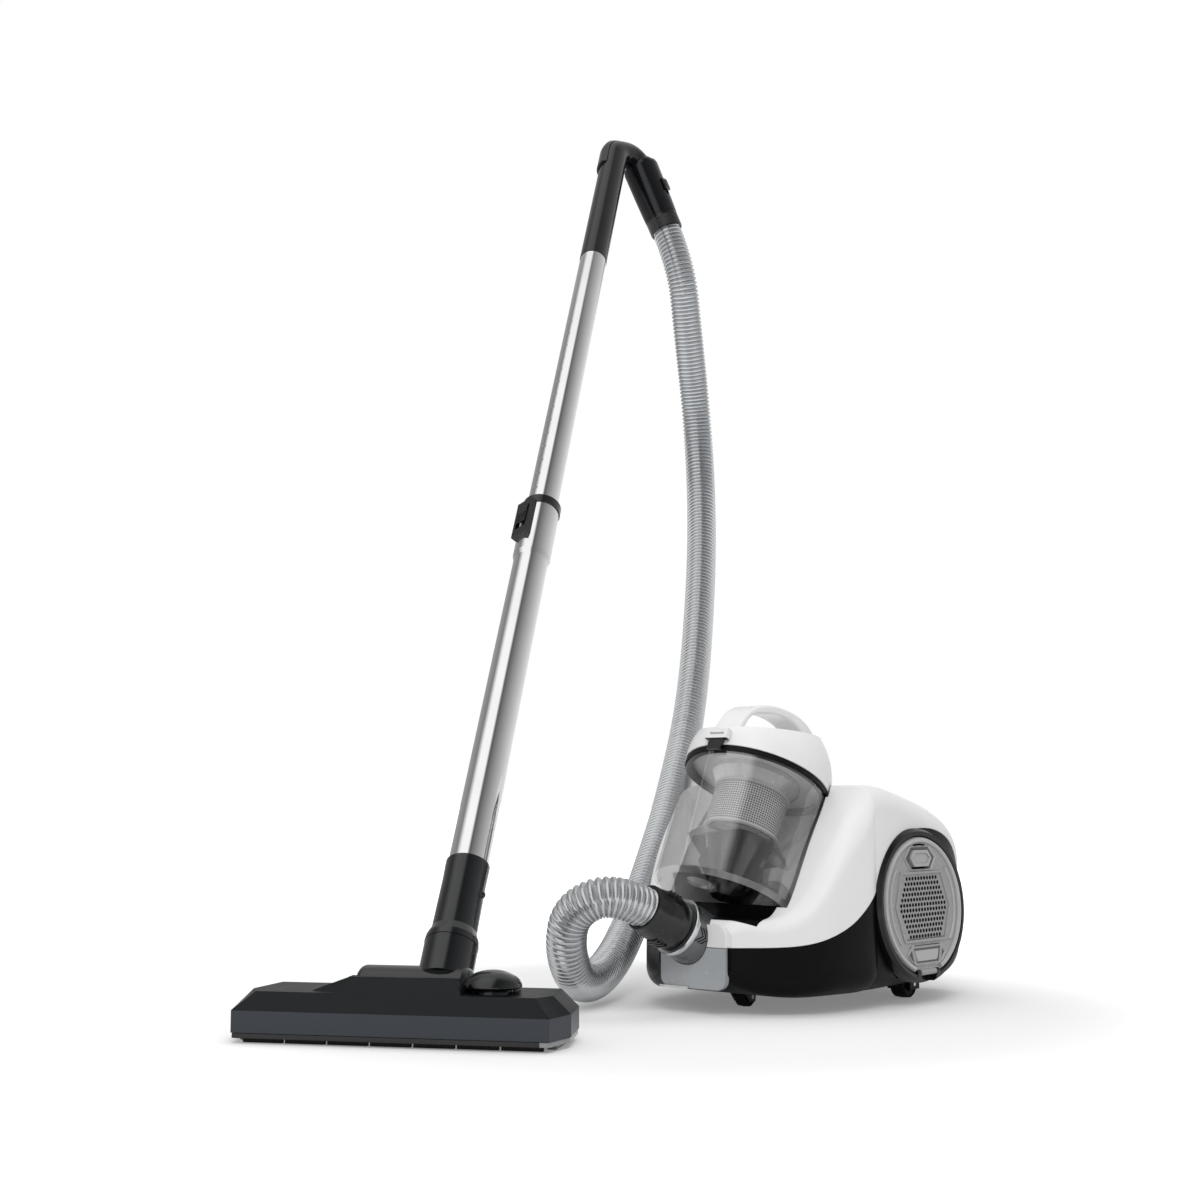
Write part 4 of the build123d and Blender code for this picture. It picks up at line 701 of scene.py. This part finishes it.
def makeCoverFace(side, sideName):
    size = coverSize
    toe, camber = radians(size["toe"]), radians(size["camber"])
    out = (side * cos(toe) * cos(camber), -sin(toe) * cos(camber), sin(camber))
    across, along, up = size["middle"]
    place = placeFrame(home + Vector((side * across, along, up)), out, Vector((0, side, 0)))
    body = sideName + "_cover"
    height, pitch = size["plateHeight"], size["pitch"]
    vertices, faces = [], []

    def addPoint(x, y):
        vertices.append(place @ Vector((x, y, height)))
        return len(vertices) - 1

    top = size["firstRow"] + pitch / 2
    foot = top - size["rows"] * pitch
    for row in range(size["rows"]):
        count = size["widestRow"] - int(abs(row - (size["rows"] - 1) / 2))
        y = size["firstRow"] - row * pitch
        for column in range(count):
            x = (column - (count - 1) / 2) * pitch
            ring, hole = [], []
            for i in range(8):
                turn = pi / 4 * i
                reach = pitch / 2 / max(abs(cos(turn)), abs(sin(turn)))
                ring.append(addPoint(x + reach * cos(turn), y + reach * sin(turn)))
                hole.append(addPoint(x + size["hole"] * cos(turn), y + size["hole"] * sin(turn)))
            for i in range(8):
                k = (i + 1) % 8
                faces.append((ring[i], ring[k], hole[k], hole[i]))
        half = count * pitch / 2
        for way in (1, -1):
            low, high = y - pitch / 2, y + pitch / 2
            corners = [addPoint(way * half, low), addPoint(way * panelEdge(low), low),
                       addPoint(way * panelEdge(high), high), addPoint(way * half, high)]
            faces.append(corners if way > 0 else corners[::-1])
    for low, high in ((top, size["panelHigh"]), (-size["panelHigh"], foot)):
        faces.append((addPoint(-panelEdge(low), low), addPoint(panelEdge(low), low),
                      addPoint(panelEdge(high), high), addPoint(-panelEdge(high), high)))
    back, sunk = size["backHeight"], size["sunkHeight"]
    grille = mirrorCorners(size["grille"])
    # a black plate just under the perforated plate: painted shade seen through the holes
    stackLoops(sideName + "GrilleShade", [(shrinkCorners(grille, 0.001), sunk), (grille, back)], place,
               "gapPaintedShade", body, True)
    rim, well = mirrorCorners(size["tabRim"]), mirrorCorners(size["tabWell"])
    outer = [rim[0], rim[1], rim[1], rim[2], rim[3], rim[4], rim[4], rim[5]]
    # the tab well is dark grey: painted shade in the recess
    stackLoops(sideName + "TabWell", [(outer, back), (well, back)], place, "recessPaintedShade", body)
    makeRim(sideName + "TabRim", rim, place, "bezelGrey", body)
    grip = mirrorCorners(size["gripRim"])
    # the grip well is dark grey: painted shade in the recess
    stackLoops(sideName + "GripWell", [(shrinkCorners(grip, 0.0006), sunk), (grip, back)], place,
               "recessPaintedShade", body, True)
    makeRim(sideName + "GripRim", grip, place, "bezelGrey", body)
    face = mirrorCorners(size["gripFace"])
    stackLoops(sideName + "GripFace", [(face, back), (shrinkCorners(face, 0.0008), 0.0018)], place,
               "tabGrey", body, True)
    makePiece(sideName + "GrillePlate", vertices, faces, "plateGrey", body, recalc=False)
    lathe(sideName + "CoverBezel", size["bezel"], place, "bezelGrey", body, span=(-70, 250))
    for start, name in ((-40, "Front"), (140, "Rear")):
        lathe(sideName + "CoverRib" + name, size["sideRib"], place, "bezelGrey", body, around=40,
              span=(start, start + 80))
    # a black strip near the cover's top: painted shade that stands for the curved slot
    lathe(sideName + "SlotShade", size["slotShade"], place, "gapPaintedShade", body, around=20, span=(80, 100))


makeCoverFace(1, "right")
makeCoverFace(-1, "left")
print("side covers dressed")

elbowFrame = placeFrame(home + Vector((-0.009706, -0.220826, 0.074488)), (-0.216128, -0.864513, 0.453769),
                        (1, 0, 0))
elbowSize = {
    "radius": 0.0272,
    "rim": [(0.0245, 0.0124), (0.0268, 0.0126), (0.0277, 0.0118), (0.0279, 0.0098),
            (0.0275, 0.0078), (0.0262, 0.0074)],
    "chevrons": 3,
    "chevronSteps": 12,
    "chevronTurn": -12,           # degrees round the elbow
    "chevronSpread": 15,
    "chevronTop": 0.0062,
    "chevronRise": 0.0065,
    "chevronGap": 0.0036,
    "chevronWidth": 0.0014,
}


def makeChevrons():
    # black strips sunk into the elbow: painted shade for the chevron grooves
    size = elbowSize
    steps = size["chevronSteps"]
    inner, outer = size["radius"] - 0.0006, size["radius"] + 0.0001
    for n in range(size["chevrons"]):
        vertices, faces = [], []
        for i in range(steps + 1):
            share = i / steps * 2 - 1
            turn = radians(size["chevronTurn"] + share * size["chevronSpread"])
            low = size["chevronTop"] - n * size["chevronGap"] - size["chevronRise"] * (1 - abs(share))
            high = low + size["chevronWidth"]
            for r, z in ((inner, low), (outer, low), (outer, high), (inner, high)):
                vertices.append(elbowFrame @ Vector((r * cos(turn), r * sin(turn), z)))
        for i in range(steps):
            for k in range(4):
                m = (k + 1) % 4
                faces.append((i * 4 + k, (i + 1) * 4 + k, (i + 1) * 4 + m, i * 4 + m))
        faces += [(3, 2, 1, 0), tuple(steps * 4 + k for k in range(4))]
        makePiece("elbowChevron" + str(n + 1), vertices, faces, "gapPaintedShade", "canister")


def makeStrip(name, low, high, finish, body):
    low, high = home + Vector(low), home + Vector(high)
    outline = ((low.x, low.y), (high.x, low.y), (high.x, high.y), (low.x, high.y))
    vertices = [(x, y, z) for z in (low.z, high.z) for x, y in outline]
    faces = [(3, 2, 1, 0), (4, 5, 6, 7), (0, 1, 5, 4), (1, 2, 6, 5), (2, 3, 7, 6), (3, 0, 4, 7)]
    makePiece(name, vertices, faces, finish, body)


makeStrip("elbowFootStrip", (-0.037, -0.2262, 0.0236), (-0.004, -0.2242, 0.0258), "satinSilver", "canister")
lathe("elbowRim", elbowSize["rim"], elbowFrame, "satinSilver", "canister")
makeChevrons()
print("elbow dressed")

domeSize = {
    "middle": (0.0465, -0.0095),      # along and across the head
    "halfWide": 0.0245,
    "halfDeep": 0.0215,
    "foot": 0.0446,
    "height": 0.0135,
    "wall": 0.0014,
}


def makeRockerDome():
    size = domeSize
    place = Matrix((wandSide, wandBack, (0, 0, 1))).transposed().to_4x4()
    along, across = size["middle"]
    place.translation = headMiddle + wandSide * along + wandBack * across
    stretch = Matrix.Diagonal((size["halfWide"], size["halfDeep"], 1, 1))
    outside = [(cos(radians(a)), size["foot"] + 0.001 + size["height"] * sin(radians(a)))
               for a in range(0, 86, 6)]
    inside = [(0.93 * cos(radians(a)), size["foot"] + (size["height"] - size["wall"]) * sin(radians(a)))
              for a in range(84, -1, -12)]
    profile = [(0.97, size["foot"])] + outside + [(0.01, size["foot"] + 0.001 + size["height"])] + inside
    lathe("rockerDome", profile, place @ stretch, "neckSlate", "rocker", around=72)


makeRockerDome()
print("rocker dressed")

hoseSize = {
    "radius": 0.019,
    "ribDepth": 0.0028,
    "ribPitch": 0.0051,
    "around": 44,
    "route": [(-0.37598, 0.22365, 0.94922), (-0.35499, 0.23287, 0.89161), (-0.368, 0.263, 0.814),
              (-0.389, 0.311, 0.706), (-0.378, 0.306, 0.585), (-0.343, 0.255, 0.463),
              (-0.293, 0.168, 0.310), (-0.242, 0.062, 0.200), (-0.211, -0.008, 0.140),
              (-0.178, -0.089, 0.072), (-0.139, -0.180, 0.026), (-0.108, -0.258, 0.020),
              (-0.084, -0.308, 0.058), (-0.066, -0.320, 0.099), (-0.029, -0.298, 0.115),
              (-0.019, -0.258, 0.094)],
    "ribShape": [0.0, 0.55, 0.95, 1.0, 0.95, 0.55],      # height over one pitch
}


def routeLine(route):
    curve = bpy.data.curves.new("hoseRoute", "CURVE")
    curve.dimensions = "3D"
    spline = curve.splines.new("NURBS")
    spline.points.add(len(route) - 1)
    for point, place in zip(spline.points, route):
        point.co = (*place, 1)
    spline.order_u = 3
    spline.use_endpoint_u = True
    spline.resolution_u = 24
    holder = bpy.data.objects.new("hoseRoute", curve)
    mesh = bpy.data.meshes.new_from_object(holder)
    line = [v.co.copy() for v in mesh.vertices]
    bpy.data.objects.remove(holder)
    return line


def evenPoints(line, spacing):
    # walks along the line and drops a point at each spacing
    total = sum((b - a).length for a, b in zip(line[:-1], line[1:]))
    count = int(total / spacing)
    step = total / count
    points, walked, target = [line[0].copy()], 0.0, step
    for a, b in zip(line[:-1], line[1:]):
        run = (b - a).length
        while run > 0 and walked + run >= target - 1e-9 and len(points) < count + 1:
            points.append(a.lerp(b, (target - walked) / run))
            target += step
        walked += run
    return points, total


def tubeAlong(points, radii, around):
    # rings of vertices that turn as little as possible along the points
    tangent = (points[1] - points[0]).normalized()
    side = tangent.orthogonal().normalized()
    vertices, faces = [], []
    for i, point in enumerate(points):
        ahead = points[min(i + 1, len(points) - 1)] - points[max(i - 1, 0)]
        ahead.normalize()
        side = (side - ahead * side.dot(ahead)).normalized()
        up = ahead.cross(side)
        for j in range(around):
            turn = 2 * pi * j / around
            vertices.append(point + (side * cos(turn) + up * sin(turn)) * radii[i])
    for i in range(len(points) - 1):
        for j in range(around):
            k = (j + 1) % around
            faces.append((i * around + j, i * around + k, (i + 1) * around + k, (i + 1) * around + j))
    return vertices, faces


def makeHose():
    shape = hoseSize["ribShape"]
    line = routeLine([home + Vector(p) for p in hoseSize["route"]])
    points, length = evenPoints(line, hoseSize["ribPitch"] / len(shape))
    valley = hoseSize["radius"] - hoseSize["ribDepth"]
    radii = [valley + hoseSize["ribDepth"] * shape[i % len(shape)] for i in range(len(points))]
    vertices, faces = tubeAlong(points, radii, hoseSize["around"])
    hose = makePiece("corrugatedHose", vertices, faces, "hoseSilver", "canister")
    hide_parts("hose")
    print("hose length", round(length, 3))


makeHose()
print("hose made")
